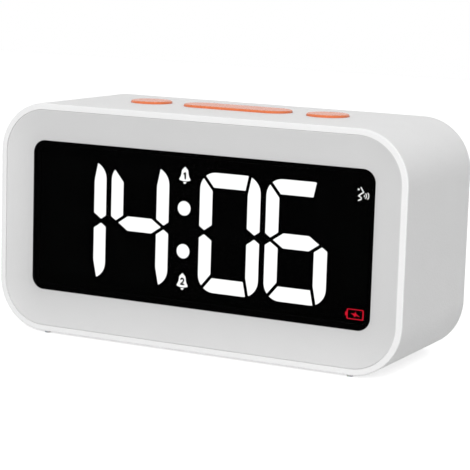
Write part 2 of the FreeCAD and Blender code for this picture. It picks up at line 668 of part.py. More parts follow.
# ---------------------------------------------------------------------------------------------------
# Front: bezel, lens, gasket
# ---------------------------------------------------------------------------------------------------
def make_bezel():
    """The dished frame round the window, with the long posts that the rear cover is screwed to."""
    body = new_body("front_bezel")
    outline = upright(body, "FrameOutline", "bezel_back")
    rounded_rectangle(outline, *NEST, "body_middle")
    pad(body, "Frame", outline, "bezel_thickness")

    rim = offset(NEST, "-bezel_land")
    halfway = ["(%s + %s) / 2" % pair for pair in zip(rim, WINDOW)]
    half_depth = "(bezel_front + dish_bottom) / 2 + dish_bulge"
    stations = [
        ("DishRim", "bezel_front", rim, "body_middle"),
        ("DishMiddle", half_depth, halfway, "(body_middle + window_middle) / 2"),
        ("DishBottom", "dish_bottom", WINDOW, "window_middle"),
    ]
    sections = []
    for name, y, size, middle in stations:
        section = upright(body, name, y)
        rounded_rectangle(section, *size, middle)
        sections.append(section)
    dish = body.newObject("PartDesign::SubtractiveLoft", "Dish")
    dish.Profile = sections[0]
    dish.Sections = [(section, [""]) for section in sections[1:]]
    body.Tip = dish
    doc.recompute()

    opening = upright(body, "WindowOutline", "dish_bottom")
    rounded_rectangle(opening, *WINDOW, "window_middle")
    pocket(body, "WindowOpening", opening, "seat_face - dish_bottom")
    seat = upright(body, "SeatOutline", "seat_face")
    rounded_rectangle(seat, *SEAT_OPENING, "window_middle")
    pocket(body, "SeatOpening", seat, "bezel_back - seat_face")

    core = upright(body, "CoreOutline", "bezel_back")
    rounded_rectangle(core, *offset(NEST, "-bezel_skin"), "body_middle")
    rounded_rectangle(core, *offset(WINDOW, "bezel_skin"), "window_middle")
    pocket(body, "BackCore", core, "bezel_back - core_floor", reverse=True)

    long_posts = upright(body, "LongPosts", "core_floor")
    long_pilots = upright(body, "LongPilots", "post_end")
    for x, z in corners("post_offset", "post_rise", "body_middle"):
        circle(long_posts, x, z, "post_radius")
        circle(long_pilots, x, z, "screw_radius + fit_gap")
    pad(body, "LongScrewPosts", long_posts, "post_end - core_floor", reverse=True)
    pocket(body, "LongScrewPilots", long_pilots, "post_end - cover_screw_end + fit_gap", reverse=True)
    short_posts = upright(body, "BoardPosts", "core_floor")
    short_pilots = upright(body, "BoardPilots", "block_back")
    for x, z in corners("board_post_offset", "board_post_spacing / 2", "window_middle"):
        circle(short_posts, x, z, "small_post_radius")
        circle(short_pilots, x, z, "screw_radius + fit_gap")
    pad(body, "DisplayPosts", short_posts, "block_back - core_floor", reverse=True)
    pocket(body, "DisplayPilots", short_pilots, "screw_length - board_thickness + fit_gap", reverse=True)


def make_lens():
    """The smoked acrylic window, set into the bezel from the front."""
    body = new_body("display_lens")
    outline = upright(body, "LensOutline", "lens_back")
    rounded_rectangle(outline, *offset(WINDOW, "-lens_clearance"), "window_middle")
    pad(body, "LensPlate", outline, "lens_thickness")
    dress(body, "Chamfer", "LensEdge", "lens_chamfer", lies_at("Y", number("lens_front")))


def make_gasket():
    """The black adhesive frame that holds the lens on its seat."""
    body = new_body("lens_gasket")
    outline = upright(body, "GasketOutline", "seat_face")
    rounded_rectangle(outline, *offset(WINDOW, "-lens_clearance"), "window_middle")
    rounded_rectangle(outline, *SEAT_OPENING, "window_middle")
    pad(body, "GasketFrame", outline, "gasket_thickness")


# ---------------------------------------------------------------------------------------------------
# Display: outlines of the lit cells, drawn in the XZ plane about their own middles
# ---------------------------------------------------------------------------------------------------
FACING = Vector(0, 1, 0)


def flat(x, z):
    """A point in the plane of the outlines."""
    return Vector(x, 0, z)


def bar_face(width, height, x=0.0, z=0.0):
    """A rectangle, centred on (x, z)."""
    signs = ((-1, -1), (1, -1), (1, 1), (-1, 1), (-1, -1))
    points = [flat(x + i * width / 2, z + k * height / 2) for i, k in signs]
    return Part.Face(Part.makePolygon(points))


def disc_face(x, z, radius):
    """A disc, centred on (x, z)."""
    return Part.Face(Part.Wire(Part.makeCircle(radius, flat(x, z), FACING)))


def stroke_face(edges, width):
    """A line of the given width, with round ends."""
    return Part.Wire(edges).makeOffset2D(width / 2, 0, True, False)


def line(start, end):
    """A straight edge of an outline."""
    return Part.makeLine(flat(*start), flat(*end))


def arc(start, middle, end):
    """A round edge of an outline, through three points."""
    return Part.Arc(flat(*start), flat(*middle), flat(*end)).toShape()


def round_bar_face(width, height, radius):
    """A rectangle with round corners, centred on the origin."""
    box = bar_face(width, height).extrude(FACING)
    box = box.makeFillet(radius, [edge for edge in box.Edges if edge.BoundBox.YLength > 0.5])
    return [face for face in box.Faces if abs(face.CenterOfMass.y) < 1e-6][0]


def digit_faces():
    """The seven segments of a digit: a rounded eight, parted by narrow slanted gaps."""
    width, height = number("digit_width"), number("digit_height")
    stroke, bar, gap = number("stroke_width"), number("bar_height"), number("segment_gap")
    hollow_width, hollow_height = width - 2 * stroke, (height - 3 * bar) / 2
    hollow_middle = (hollow_height + bar) / 2
    figure = round_bar_face(width, height, number("digit_corner"))
    for side in (-1, 1):
        figure = figure.cut(bar_face(hollow_width, hollow_height, z=side * hollow_middle))

    inner_x, inner_z = hollow_width / 2, hollow_middle + hollow_height / 2
    crossing_x = width / 2 - 0.4 * stroke
    gaps = []
    for side in (-1, 1):
        gaps.append((-inner_x + 0.1 * gap, side * (inner_z - 0.4 * gap), side * 50.0))
        gaps.append((inner_x - 0.25 * gap, side * inner_z, side * -78.0))
        gaps.append((side * crossing_x, 0.0, 34.0))
        gaps.append((side * crossing_x, 0.0, -34.0))
    for x, z, turn in gaps:
        strip = bar_face(2.8 * max(stroke, bar), gap)
        strip.rotate(Vector(), FACING, turn)
        strip.translate(flat(x, z))
        figure = figure.cut(strip)
    return sorted(figure.Faces, key=lambda face: face.Area)[-7:]


def bell_face(numeral):
    """An alarm bell with a numeral left dark in it, drawn 5.3 high and scaled to its size."""
    half = [
        line((0, 2.52), (0.3, 2.5)),
        arc((0.3, 2.5), (0.94, 2.08), (1.17, 1.5)),
        line((1.17, 1.5), (1.3, 0.45)),
        arc((1.3, 0.45), (1.51, -0.11), (1.88, -0.78)),
        arc((1.88, -0.78), (1.98, -1.1), (1.75, -1.3)),
        arc((1.75, -1.3), (0.9, -1.54), (0, -1.62)),
    ]
    mirrored = [edge.mirror(Vector(), Vector(1, 0, 0)) for edge in half]
    bell = Part.Face(Part.Wire(Part.sortEdges(half + mirrored)[0]))
    knob = disc_face(0, 2.46, 0.43)
    clapper = disc_face(0, -1.88, 0.53).cut(bar_face(2, 1, z=-1.36))
    if numeral == 1:
        figure = stroke_face([line((-0.3, 0.7), (0.1, 0.98)), line((0.1, 0.98), (0.1, -0.7))], 0.62)
    else:
        bowl = arc((-0.5, 0.92), (0.02, 1.25), (0.5, 0.8))
        waist = arc((0.5, 0.8), (0.4, 0.42), (0.1, 0.06))
        foot = [line((0.1, 0.06), (-0.54, -0.64)), line((-0.54, -0.64), (0.58, -0.64))]
        figure = stroke_face([bowl, waist] + foot, 0.52)
    return bell.fuse(knob).cut(figure).fuse(clapper).removeSplitter()


def voice_face():
    """A speaking face in profile, reduced to an eye, a line and three waves, drawn 4.3 high."""
    width = number("symbol_stroke")
    brow, nose, upper_lip, mouth = (-1.05, 2.0), (-0.14, 0.6), (-0.82, 0.2), (-1.75, -0.58)
    lower_lip, chin, throat = (-0.88, -1.02), (-0.83, -1.5), (-1.8, -1.98)
    profile = [brow, nose, upper_lip, mouth, lower_lip, chin, throat]
    parts = [stroke_face([line(a, b) for a, b in zip(profile, profile[1:])], width)]
    parts.append(disc_face(-1.78, 1.38, 0.29))
    parts.append(disc_face(0.17, -0.48, 0.23))
    for reach, spread in ((0.85, 0.7), (1.6, 0.92)):
        ends = ((reach - 0.37, spread - 0.42), (reach, -0.42), (reach - 0.37, -spread - 0.42))
        parts.append(stroke_face([arc(*ends)], 0.85 * width))
    return parts[0].multiFuse(parts[1:]).removeSplitter()


def charge_face():
    """A battery outline with a bolt in it, drawn 6.2 long."""
    width = number("symbol_stroke")
    case = round_bar_face(5.6, 3.2, 0.5).cut(round_bar_face(5.6 - 2.6 * width, 3.2 - 1.7 * width, 0.25))
    case.translate(flat(0.3, 0))
    cap = bar_face(0.5, 1.2, x=-2.7)
    left_tip, top_tip, right_tip, low_tip = (-1.1, 0.2), (0.42, 0.9), (2.05, -0.65), (0.2, -0.9)
    bolt = [left_tip, (0.05, 0.2), top_tip, (0.65, 0.15), right_tip, (0.6, -0.35), low_tip, (-0.2, -0.3)]
    drawn_bolt = Part.Face(Part.makePolygon([flat(x, z) for x, z in bolt + [left_tip]]))
    return case.fuse(cap).fuse(drawn_bolt).removeSplitter()


def scaled(face, factor):
    """The face, enlarged about the origin."""
    enlarged = face.copy()
    enlarged.scale(factor)
    return enlarged


def display_cells():
    """Each lit cell of the display: name, faces in place, and the light well of a symbol."""
    row_x, row_z = number("row_offset"), number("row_middle")
    window_z = number("window_middle")
    cells = []
    digit_names = ["hour_tens", "hour_units", "minute_tens", "minute_units"]
    for n, name in enumerate(digit_names):
        pair, place_in_pair = divmod(n, 2)
        x = row_x + (pair - 0.5) * number("pair_pitch") + (place_in_pair - 0.5) * number("digit_pitch")
        cells.append(("digit_" + name, digit_faces(), flat(x, row_z), None))
    half_spacing = number("colon_spacing") / 2
    dots = [disc_face(0, side * half_spacing, number("colon_radius")) for side in (1, -1)]
    cells.append(("colon_dots", dots, flat(row_x, row_z), None))
    bell_scale = number("bell_height / 5.3")
    for numeral, side in ((1, 1), (2, -1)):
        place = flat(row_x, window_z + side * number("bell_spacing") / 2)
        faces = scaled(bell_face(numeral), bell_scale).Faces
        cells.append(("alarm_%d_symbol" % numeral, faces, place, flat(0, -0.95 * bell_scale)))
    voice_scale = number("symbol_size / 4.3")
    place = flat(number("symbol_offset"), window_z + number("symbol_rise"))
    cells.append(("voice_symbol", scaled(voice_face(), voice_scale).Faces, place, flat(-0.6, 0.2)))
    charge_scale = number("charge_width / 6.2")
    place = flat(number("charge_offset"), window_z - number("charge_drop"))
    cells.append(("battery_symbol", scaled(charge_face(), charge_scale).Faces, place, flat(0.3, 0)))
    return cells


def prisms(faces, place, front, depth):
    """Extrudes faces to the back, from the plane y = front."""
    solids = []
    for face in faces:
        solid = face.extrude(FACING * depth)
        solid.translate(place + FACING * front)
        solids.append(solid)
    return Part.makeCompound(solids)


def make_display():
    """The black display block with its cells, the resin in them, the LED chips, and the board behind."""
    front, depth = number("block_front"), number("block_depth")
    hollows = []
    chips = []
    for name, faces, place, well in display_cells():
        resin = prisms(faces, place, front, number("resin_depth"))
        node(shaped("Resin_" + name, resin), name)
        if well is None:
            hollows.append(prisms(faces, place, front, depth))
            spots = [solid.CenterOfMass for solid in resin.Solids]
        else:
            spots = [place + well]
            mouth = spots[0] + FACING * (front + number("resin_depth"))
            shaft_depth = number("block_depth - resin_depth")
            shaft = Part.makeCylinder(number("light_well / 2"), shaft_depth, mouth, FACING)
            hollows.append(resin.fuse(shaft))
        for spot in spots:
            middle = flat(spot.x, spot.z)
            thickness = number("chip_thickness")
            chip = bar_face(number("chip_width"), number("chip_height"))
            chips.append(prisms([chip], middle, front + depth - thickness, thickness))
    node(shaped("LedChips", Part.makeCompound(chips)), "led_chips")

    plate = doc.addObject("PartDesign::Body", "BlockPlate")
    outline = upright(plate, "BlockOutline", "block_back")
    rounded_rectangle(outline, *offset(SEAT_OPENING, "-block_clearance"), "window_middle")
    pad(plate, "BlockPad", outline, "block_depth")
    cavities = shaped("DisplayCavities", Part.makeCompound(hollows))
    node(cut("DisplayBlock", plate, [cavities]), "display_block")

    holes = corners("board_post_offset", "board_post_spacing / 2", "window_middle")
    width = "2 * (board_post_offset + board_margin)"
    height = "board_post_spacing + 2 * board_margin"
    middle = ("0", "(block_back + display_board_back) / 2", "window_middle")
    board = circuit_board("DisplayBoard", middle, (width, "board_thickness", height), "+Y", holes)
    node(board, "display_board")
    screws = [screw("DisplayScrew", (x, "display_board_back", z), "-Y", "screw_length") for x, z in holes]
    node(group("DisplayScrews", screws), "display_screws")


# ---------------------------------------------------------------------------------------------------
# Top buttons, their switches and their board
# ---------------------------------------------------------------------------------------------------
def make_button(label, x, draw):
    """A top button: the cap in its hole, the flange that keeps it in, and the stem over its switch."""
    body = new_body(label)
    cap = level(body, label + "Cap", "flange_bottom")
    draw(cap, "0")
    pad(body, label + "CapPad", cap, "button_top - flange_bottom")
    dress(body, "Fillet", label + "Rounding", "button_rounding", lies_at("Z", number("button_top")))
    flange = level(body, label + "Flange", "flange_bottom")
    draw(flange, "flange_width")
    pad(body, label + "FlangePad", flange, "flange_thickness")
    stem = level(body, label + "Stem", "flange_bottom")
    circle(stem, x, "button_line", "stem_radius")
    pad(body, label + "StemPad", stem, "stem_length", reverse=True)


def make_top_controls():
    """Two round buttons with the snooze bar between them, over three switches on one board."""

    def draw_bar(sketch, growth):
        sides = ["%s + 2 * (%s)" % (size, growth) for size in ("snooze_length", "snooze_width")]
        stadium(sketch, *sides, "0", "button_line")

    def draw_round(x):
        return lambda sketch, growth: circle(sketch, x, "button_line", "button_radius + " + growth)

    left, right = "-1 * button_offset", "button_offset"
    make_button("left_button", left, draw_round(left))
    make_button("snooze_bar", "0", draw_bar)
    make_button("right_button", right, draw_round(right))
    switches = []
    for name, x in (("left", left), ("snooze", "0"), ("right", right)):
        foot = (x, "button_line", "key_board_top")
        switches.append(push_switch("TopSwitch_" + name, foot, "+Z"))
        plunger(name + "_plunger", foot, "+Z")
    node(group("TopSwitches", switches), "top_switches")
    holes = corners("key_post_offset", "key_post_spacing / 2", "button_line")
    middle = ("0", "button_line", "(key_board_top + key_board_bottom) / 2")
    size = ("key_board_length", "key_board_width", "board_thickness")
    node(circuit_board("KeyBoard", middle, size, "+Z", holes), "key_board")
    screws = [screw("KeyBoardScrew", (x, y, "key_board_bottom"), "+Z", "screw_length") for x, y in holes]
    node(group("KeyBoardScrews", screws), "key_board_screws")


# ---------------------------------------------------------------------------------------------------
# Rear cover, speaker and rear controls
# ---------------------------------------------------------------------------------------------------
REAR_KEYS = ("set", "minus", "plus")


def rear_key_place(n):
    """Across and up to the middle of a rear key."""
    return "rear_key_first + %d * rear_key_pitch" % n, "rear_key_height"


def board_corners():
    """Across and up to each screw of the main board."""
    across = "main_board_width / 2 - board_margin"
    along = "main_board_height / 2 - board_margin"
    spots = corners(across, along, "body_middle")
    return [("main_board_offset + " + x, z) for x, z in spots]


def clamp_ears():
    """The three screws of the speaker clamp, one above and two below."""
    spots = []
    for degrees in (90, 210, 330):
        x = "-1 * speaker_offset + clamp_reach * cos(%d deg)" % degrees
        spots.append((x, "body_middle + clamp_reach * sin(%d deg)" % degrees))
    return spots


def make_cover():
    """The rear cover: grille, openings for the keys, switch and socket, bosses and board posts."""
    body = new_body("rear_cover")
    outline = upright(body, "CoverOutline", "cover_inner")
    rounded_rectangle(outline, *NEST, "body_middle")
    pad(body, "CoverPlate", outline, "cover_thickness", reverse=True)
    dress(body, "Fillet", "CoverRounding", "rim_rounding", lies_at("Y", number("cover_outer")))

    bosses = upright(body, "CoverBosses", "cover_inner")
    bores = upright(body, "CoverBores", "cover_outer")
    heads = upright(body, "CoverCounterbores", "cover_outer")
    for x, z in corners("post_offset", "post_rise", "body_middle"):
        circle(bosses, x, z, "post_radius + fit_gap")
        circle(bores, x, z, "screw_radius + screw_clearance")
        circle(heads, x, z, "screw_head_radius + screw_clearance")
    pad(body, "CoverBossPads", bosses, "cover_boss_height")
    pocket(body, "CoverBoreCuts", bores, "cover_outer - post_end", reverse=True)
    pocket(body, "CoverHeadCuts", heads, "cover_outer - cover_screw_seat", reverse=True)

    posts = upright(body, "MainBoardPosts", "cover_inner")
    pilots = upright(body, "MainBoardPilots", "main_board_rear")
    for x, z in board_corners():
        circle(posts, x, z, "small_post_radius")
        circle(pilots, x, z, "screw_radius + fit_gap")
    pad(body, "MainBoardPostPads", posts, "cover_inner - main_board_rear")
    pocket(body, "MainBoardPilotCuts", pilots, "screw_length - board_thickness + fit_gap")

    wall = upright(body, "SpeakerWall", "cover_inner")
    for radius in ("speaker_radius + button_clearance", "speaker_radius + button_clearance + speaker_wall"):
        circle(wall, "-1 * speaker_offset", "body_middle", radius)
    pad(body, "SpeakerWallPad", wall, "cover_inner - speaker_rim_back")
    ears = upright(body, "ClampBosses", "cover_inner")
    ear_pilots = upright(body, "ClampPilots", "speaker_rim_back")
    for x, z in clamp_ears():
        circle(ears, x, z, "small_post_radius")
        circle(ear_pilots, x, z, "screw_radius + fit_gap")
    pad(body, "ClampBossPads", ears, "cover_inner - speaker_rim_back")
    pocket(body, "ClampPilotCuts", ear_pilots, "short_screw_length - clamp_thickness + fit_gap")

    openings = upright(body, "KeyOpenings", "cover_outer")
    for n in range(len(REAR_KEYS)):
        circle(openings, *rear_key_place(n), "rear_key_radius + button_clearance")
    slot = ("slider_length + slider_travel + 2 * slider_clearance", "slider_height + 2 * slider_clearance")
    rounded_rectangle(openings, *slot, "slider_clearance", "socket_height", "slider_offset")
    mouth = ["%s + 2 * usb_clearance" % size for size in ("usb_width", "usb_height")]
    stadium(openings, *mouth, "usb_offset", "socket_height")
    pocket(body, "KeyOpeningCuts", openings, "cover_thickness", reverse=True)
    recess = upright(body, "SocketRecess", "cover_outer")
    stadium(recess, *["%s + 2 * plug_margin" % size for size in mouth], "usb_offset", "socket_height")
    pocket(body, "SocketRecessCut", recess, "plug_recess", reverse=True)
    make_grille(body)


def make_grille(body):
    """One hole in the middle, and rings of 6, 12, 18 and 24 round it."""
    rings = 4
    for n in range(rings + 1):
        name = "GrilleRing%d" % n
        hole = upright(body, name, "cover_outer")
        centre = {"AttachmentOffset.Base.x": "-1 * speaker_offset", "AttachmentOffset.Base.y": "body_middle"}
        bind(hole, centre)
        circle(hole, "%d * grille_pitch" % n, "0", "grille_hole")
        first = pocket(body, name + "Hole", hole, "cover_thickness", reverse=True)
        if n == 0:
            continue
        pattern = body.newObject("PartDesign::PolarPattern", name + "Pattern")
        pattern.Originals = [first]
        pattern.Axis = (hole, ["N_Axis"])
        pattern.Angle = 360
        pattern.Occurrences = 6 * n
        body.Tip = pattern
        doc.recompute()


def make_cover_screws():
    """The four long screws that pull the cover to the bezel's posts."""
    spots = corners("post_offset", "post_rise", "body_middle")
    screws = [screw("CoverScrew", (x, "cover_screw_seat", z), "-Y", "cover_screw_length") for x, z in spots]
    node(group("CoverScrews", screws), "cover_screws")


def make_rear_key(n, bars):
    """A rear key with its flange and stem; bars gives the sides of the bars engraved in its face."""
    label = REAR_KEYS[n] + "_key"
    x, z = rear_key_place(n)
    body = new_body(label)
    for part, y, radius, length in (
        ("Cap", "rear_flange_inner", "rear_key_radius", "rear_face - rear_flange_inner"),
        ("Flange", "rear_flange_inner", "rear_key_radius + flange_width", "flange_thickness"),
        ("Stem", "rear_stem_end", "stem_radius", "rear_stem_length"),
    ):
        sketch = upright(body, label + part, y)
        circle(sketch, x, z, radius)
        pad(body, label + part + "Pad", sketch, length, reverse=True)
        if part == "Cap":
            dress(body, "Fillet", label + "Rounding", "button_rounding", lies_at("Y", number("rear_face")))
    for k, (width, height) in enumerate(bars):
        bar = upright(body, "%sBar%d" % (label, k), "rear_face")
        rounded_rectangle(bar, width, height, "mark_width / 3", z, x)
        pocket(body, "%sBar%dCut" % (label, k), bar, "mark_depth", reverse=True)


def make_rear_controls():
    """Three keys over their switches, and the sliding voice switch."""
    level_bar, upright_bar = ("mark_length", "mark_width"), ("mark_width", "mark_length")
    dot = ("1.5 * mark_width", "1.5 * mark_width")
    switches = []
    for n, bars in enumerate(([dot], [level_bar], [level_bar, upright_bar])):
        make_rear_key(n, bars)
        x, z = rear_key_place(n)
        foot = (x, "main_board_rear", z)
        switches.append(push_switch("RearSwitch_" + REAR_KEYS[n], foot, "+Y"))
        plunger(REAR_KEYS[n] + "_plunger", foot, "+Y")
    node(group("RearSwitches", switches), "rear_switches")

    make_voice_switch()


def make_voice_switch():
    """The sliding switch: a knob with a plate that closes its slot from inside, and the case under it."""
    rest = "slider_offset - slider_travel / 2"
    tip = "slide_case_top - tongue_depth"
    knob_sides = ("slider_length", "slider_height")
    knob = column("SliderKnob", (rest, tip, "socket_height"), "+Y", knob_sides, "rear_face - (%s)" % tip)
    plate = ("slider_length + 2 * slider_travel + 2 * shutter_lap", "slider_height + 2 * shutter_lap")
    inner_side = (rest, "rear_flange_inner", "socket_height")
    shutter = column("SliderShutter", inner_side, "+Y", plate, "shutter_thickness")
    grooves = []
    for side in (-1, 1):
        spot = ("%s + %d * slider_length / 5" % (rest, side), "rear_face - mark_depth", "socket_height")
        groove = ("mark_width / 2", "2 * slider_height")
        grooves.append(column("SliderGroove", spot, "+Y", groove, "2 * mark_depth"))
    node(cut("VoiceSwitch", fuse("VoiceSwitchBlank", [knob, shutter]), grooves), "voice_switch")

    foot = ("slider_offset", "main_board_rear", "socket_height")
    case = column("SlideCase", foot, "+Y", ("slide_case_length", "slide_case_height"), "slide_case_depth")
    track = ("slider_length + slider_travel + 2 * slider_clearance", "slider_height + 2 * slider_clearance")
    floor = ("slider_offset", tip + " - slider_clearance", "socket_height")
    slot = column("SlideTrack", floor, "+Y", track, "tongue_depth + 2 * slider_clearance")
    node(cut("SlideSwitch", case, [slot]), "slide_switch_case")


def make_usb_socket():
    """The charging socket: a rounded metal shell with a tongue, standing on the main board."""
    body = new_body("usb_socket")
    shell = upright(body, "SocketShell", "main_board_rear")
    stadium(shell, "usb_width", "usb_height", "usb_offset", "socket_height")
    stadium(shell, "usb_width - 2 * usb_wall", "usb_height - 2 * usb_wall", "usb_offset", "socket_height")
    pad(body, "SocketShellPad", shell, "usb_mouth - main_board_rear", reverse=True)
    base = upright(body, "SocketBase", "main_board_rear")
    stadium(base, "usb_width", "usb_height", "usb_offset", "socket_height")
    pad(body, "SocketBasePad", base, "usb_base", reverse=True)
    tongue = upright(body, "SocketTongue", "main_board_rear")
    sides = ("usb_tongue_width", "usb_tongue_height", "usb_tongue_height / 4")
    rounded_rectangle(tongue, *sides, "socket_height", "usb_offset")
    pad(body, "SocketTonguePad", tongue, "usb_mouth - main_board_rear - usb_wall", reverse=True)


def make_main_board():
    """The upright main board behind the rear cover, with the parts on its inner side."""
    middle = ("main_board_offset", "(main_board_front + main_board_rear) / 2", "body_middle")
    size = ("main_board_width", "board_thickness", "main_board_height")
    node(circuit_board("MainBoard", middle, size, "+Y", board_corners()), "main_board")
    seats = [(x, "main_board_front", z) for x, z in board_corners()]
    screws = [screw("MainBoardScrew", seat, "+Y", "screw_length") for seat in seats]
    node(group("MainBoardScrews", screws), "main_board_screws")

    for label, part, sides, thickness in (
        ("controller_chip", "controller", ("controller_side", "controller_side"), "chip_case_height"),
        ("audio_chip", "audio", ("audio_side", "audio_side"), "chip_case_height"),
        ("quartz_crystal", "crystal", ("crystal_length", "crystal_width"), "crystal_height"),
    ):
        x, z = "main_board_offset + %s_across" % part, "body_middle + %s_up" % part
        node(column("Mounted_" + part, (x, "main_board_front", z), "-Y", sides, thickness), label)
    capacitors = []
    for n in (-1, 0, 1):
        x, z = "main_board_offset + %d * capacitor_pitch" % n, "body_middle - capacitor_drop"
        foot = (x, "main_board_front", z)
        capacitors.append(rod("Capacitor", foot, "capacitor_radius", "capacitor_height", "-Y"))
    node(group("Capacitors", capacitors), "capacitors")


# ---------------------------------------------------------------------------------------------------
# Speaker, lithium cell, cables
# ---------------------------------------------------------------------------------------------------
def ring(name, start, outer, inner, length, axis):
    """A flat ring that runs from start along the axis."""
    solid, hole = [rod(name, start, radius, length, axis) for radius in (outer, inner)]
    return cut(name, solid, [hole])


def cone(name, start, first, last, length, axis):
    """A cone whose radius goes from first to last along the axis."""
    item = doc.addObject("Part::Cone", name)
    bind(item, {"Radius1": first, "Radius2": last, "Height": length})
    return put(item, *start, axis)


def make_speaker():
    """The round speaker behind the grille, and the foam ring that it is pressed on."""
    x, z = "-1 * speaker_offset", "body_middle"
    face, back = (x, "speaker_face", z), (x, "speaker_rim_back", z)
    foam = ring("SpeakerFoam", face, "speaker_radius", "speaker_throat", "foam_thickness", "+Y")
    node(foam, "speaker_foam")

    rim = rod("BasketRim", back, "speaker_radius", "speaker_rim", "+Y")
    taper = cone("BasketTaper", back, "speaker_throat", "magnet_radius", "basket_depth", "-Y")
    terminal_foot = ("%s + terminal_reach" % x, "speaker_rim_back", z)
    terminal = column("Terminal", terminal_foot, "-Y", ("terminal_side", "terminal_side"), "terminal_depth")
    inner_depth = "speaker_rim + basket_depth - basket_wall"
    inner_mouth, inner_end = "speaker_throat - basket_wall / 2", "magnet_radius - basket_wall"
    hollow = cone("BasketHollow", face, inner_mouth, inner_end, inner_depth, "-Y")
    node(cut("SpeakerBasket", fuse("BasketBlank", [rim, taper, terminal]), [hollow]), "speaker_basket")
    magnet_face = ahead(back, "-Y", "basket_depth")
    node(rod("SpeakerMagnet", magnet_face, "magnet_radius", "magnet_depth", "-Y"), "speaker_magnet")

    mouth = inner_mouth + " - cone_margin"
    skin = cone("ConeSkin", face, mouth, "dome_radius", "cone_depth", "-Y")
    air = cone("ConeAir", ahead(face, "+Y", "cone_wall"), mouth, "dome_radius", "cone_depth", "-Y")
    coil_face = ahead(face, "-Y", "cone_depth")
    coil = rod("VoiceCoil", coil_face, "coil_radius", inner_depth + " - cone_depth", "-Y")
    node(fuse("SpeakerCone", [cut("ConeShell", skin, [air]), coil]), "speaker_cone")


def make_speaker_clamp():
    """The ring with three ears that holds the speaker against the cover."""
    middle = ("-1 * speaker_offset", "clamp_back", "body_middle")
    blank = [rod("ClampRing", middle, "speaker_radius + clamp_lap", "clamp_thickness", "+Y")]
    holes = [rod("ClampMouth", middle, "speaker_throat + speaker_rim", "clamp_thickness", "+Y")]
    screws = []
    for x, z in clamp_ears():
        spot = (x, "clamp_back", z)
        blank.append(rod("ClampEar", spot, "small_post_radius + clamp_lap / 2", "clamp_thickness", "+Y"))
        holes.append(rod("ClampHole", spot, "screw_radius + screw_clearance", "clamp_thickness", "+Y"))
        screws.append(screw("ClampScrew", spot, "+Y", "short_screw_length"))
    node(cut("SpeakerClamp", fuse("ClampBlank", blank), holes), "speaker_clamp")
    node(group("SpeakerScrews", screws), "speaker_screws")


def make_cell():
    """The lithium cell over the floor of the sleeve, in a cradle of two saddles, with a strap over it."""
    start = ("cell_offset - cell_length / 2", "cell_line", "cell_height")
    can = rod("CellCan", start, "cell_radius", "cell_length", "+X")
    tip = rod("CellTip", ahead(start, "+X", "cell_length"), "cell_radius / 3", "cell_tip", "+X")
    node(fuse("LithiumCell", [can, tip]), "lithium_cell")

    floor = ("cell_offset", "cell_line", "floor_top")
    base_width = "2 * (cell_radius + strap_thickness + strap_edge)"
    blank = [column("CradleBase", floor, "+Z", ("cell_length", base_width), "cradle_lift")]
    saddle = ("cradle_thickness", "2 * cell_radius")
    for side in (-1, 1):
        foot = ahead(floor, "+X", "%d * cell_length / 3" % side)
        blank.append(column("CradleSaddle", foot, "+Z", saddle, "cradle_height"))
    bed = rod("CradleBed", start, "cell_radius + fit_gap", "cell_length", "+X")
    node(cut("CellCradle", fuse("CradleBlank", blank), [bed]), "cell_cradle")

    inner = "cell_radius + fit_gap"
    outer = inner + " + strap_thickness"
    loop_start = ("cell_offset - strap_width / 2", "cell_line", "cell_height")
    loop = ring("StrapLoop", loop_start, outer, inner, "strap_width", "+X")
    below = column("StrapBelow", floor, "+Z", ("2 * strap_width", base_width), "cell_height - floor_top")
    strap = [cut("StrapArch", loop, [below])]
    for side in (-1, 1):
        foot = ahead(floor, "+Y", "%d * (%s - strap_thickness / 2)" % (side, outer))
        foot = ahead(foot, "+Z", "cradle_lift")
        leg_height = "cell_height - floor_top - cradle_lift"
        strap.append(column("StrapLeg", foot, "+Z", ("strap_width", "strap_thickness"), leg_height))
    node(fuse("CellStrap", strap), "cell_strap")


def ribbon(label, start, end, sag):
    """A flat cable between the (y, z) of its ends. It leaves both level and hangs between them."""
    thickness, width = number("ribbon_thickness"), number("ribbon_width")
    side = number("ribbon_offset") - width / 2
    middle = ((start[0] + end[0]) / 2, (start[1] + end[1]) / 2 - sag)
    edges = []
    for lift in (-thickness / 2, thickness / 2):
        points = [Vector(side, y, z + lift) for y, z in (start, middle, end)]
        curve = Part.BSplineCurve()
        curve.interpolate(Points=points, InitialTangent=Vector(0, 1, 0), FinalTangent=Vector(0, 1, 0))
        edges.append(curve.toShape())
    lower, upper = edges
    for n in (0, -1):
        edges.append(Part.makeLine(lower.Vertexes[n].Point, upper.Vertexes[n].Point))
    face = Part.Face(Part.Wire(Part.sortEdges(edges)[0]))
    node(shaped("Ribbon_" + label, face.extrude(Vector(width, 0, 0))), label)


def make_ribbons():
    """Two flat cables, from the display and from the top buttons to the main board, with connectors."""
    depth, height = number("connector_depth"), number("connector_height")
    display_back, board_front = number("display_board_back"), number("main_board_front")
    middle = number("body_middle")
    key_line, key_level = number("button_line"), number("key_board_bottom") - height / 2
    upper = number("body_middle + main_board_height / 2") - height
    spots = [
        (display_back + depth / 2, middle),
        (board_front - depth / 2, middle),
        (key_line, key_level),
        (board_front - depth / 2, upper),
    ]
    size = ("ribbon_width + 2 * connector_lap", "connector_depth", "connector_height")
    connectors = [block("RibbonConnector", ("ribbon_offset", y, z), size) for y, z in spots]
    ribbon_end = board_front - depth
    ribbon("display_ribbon", (display_back + depth, middle), (ribbon_end, middle), number("ribbon_sag"))
    ribbon("key_ribbon", (key_line + depth / 2, key_level), (ribbon_end, upper), 0.0)
    return connectors


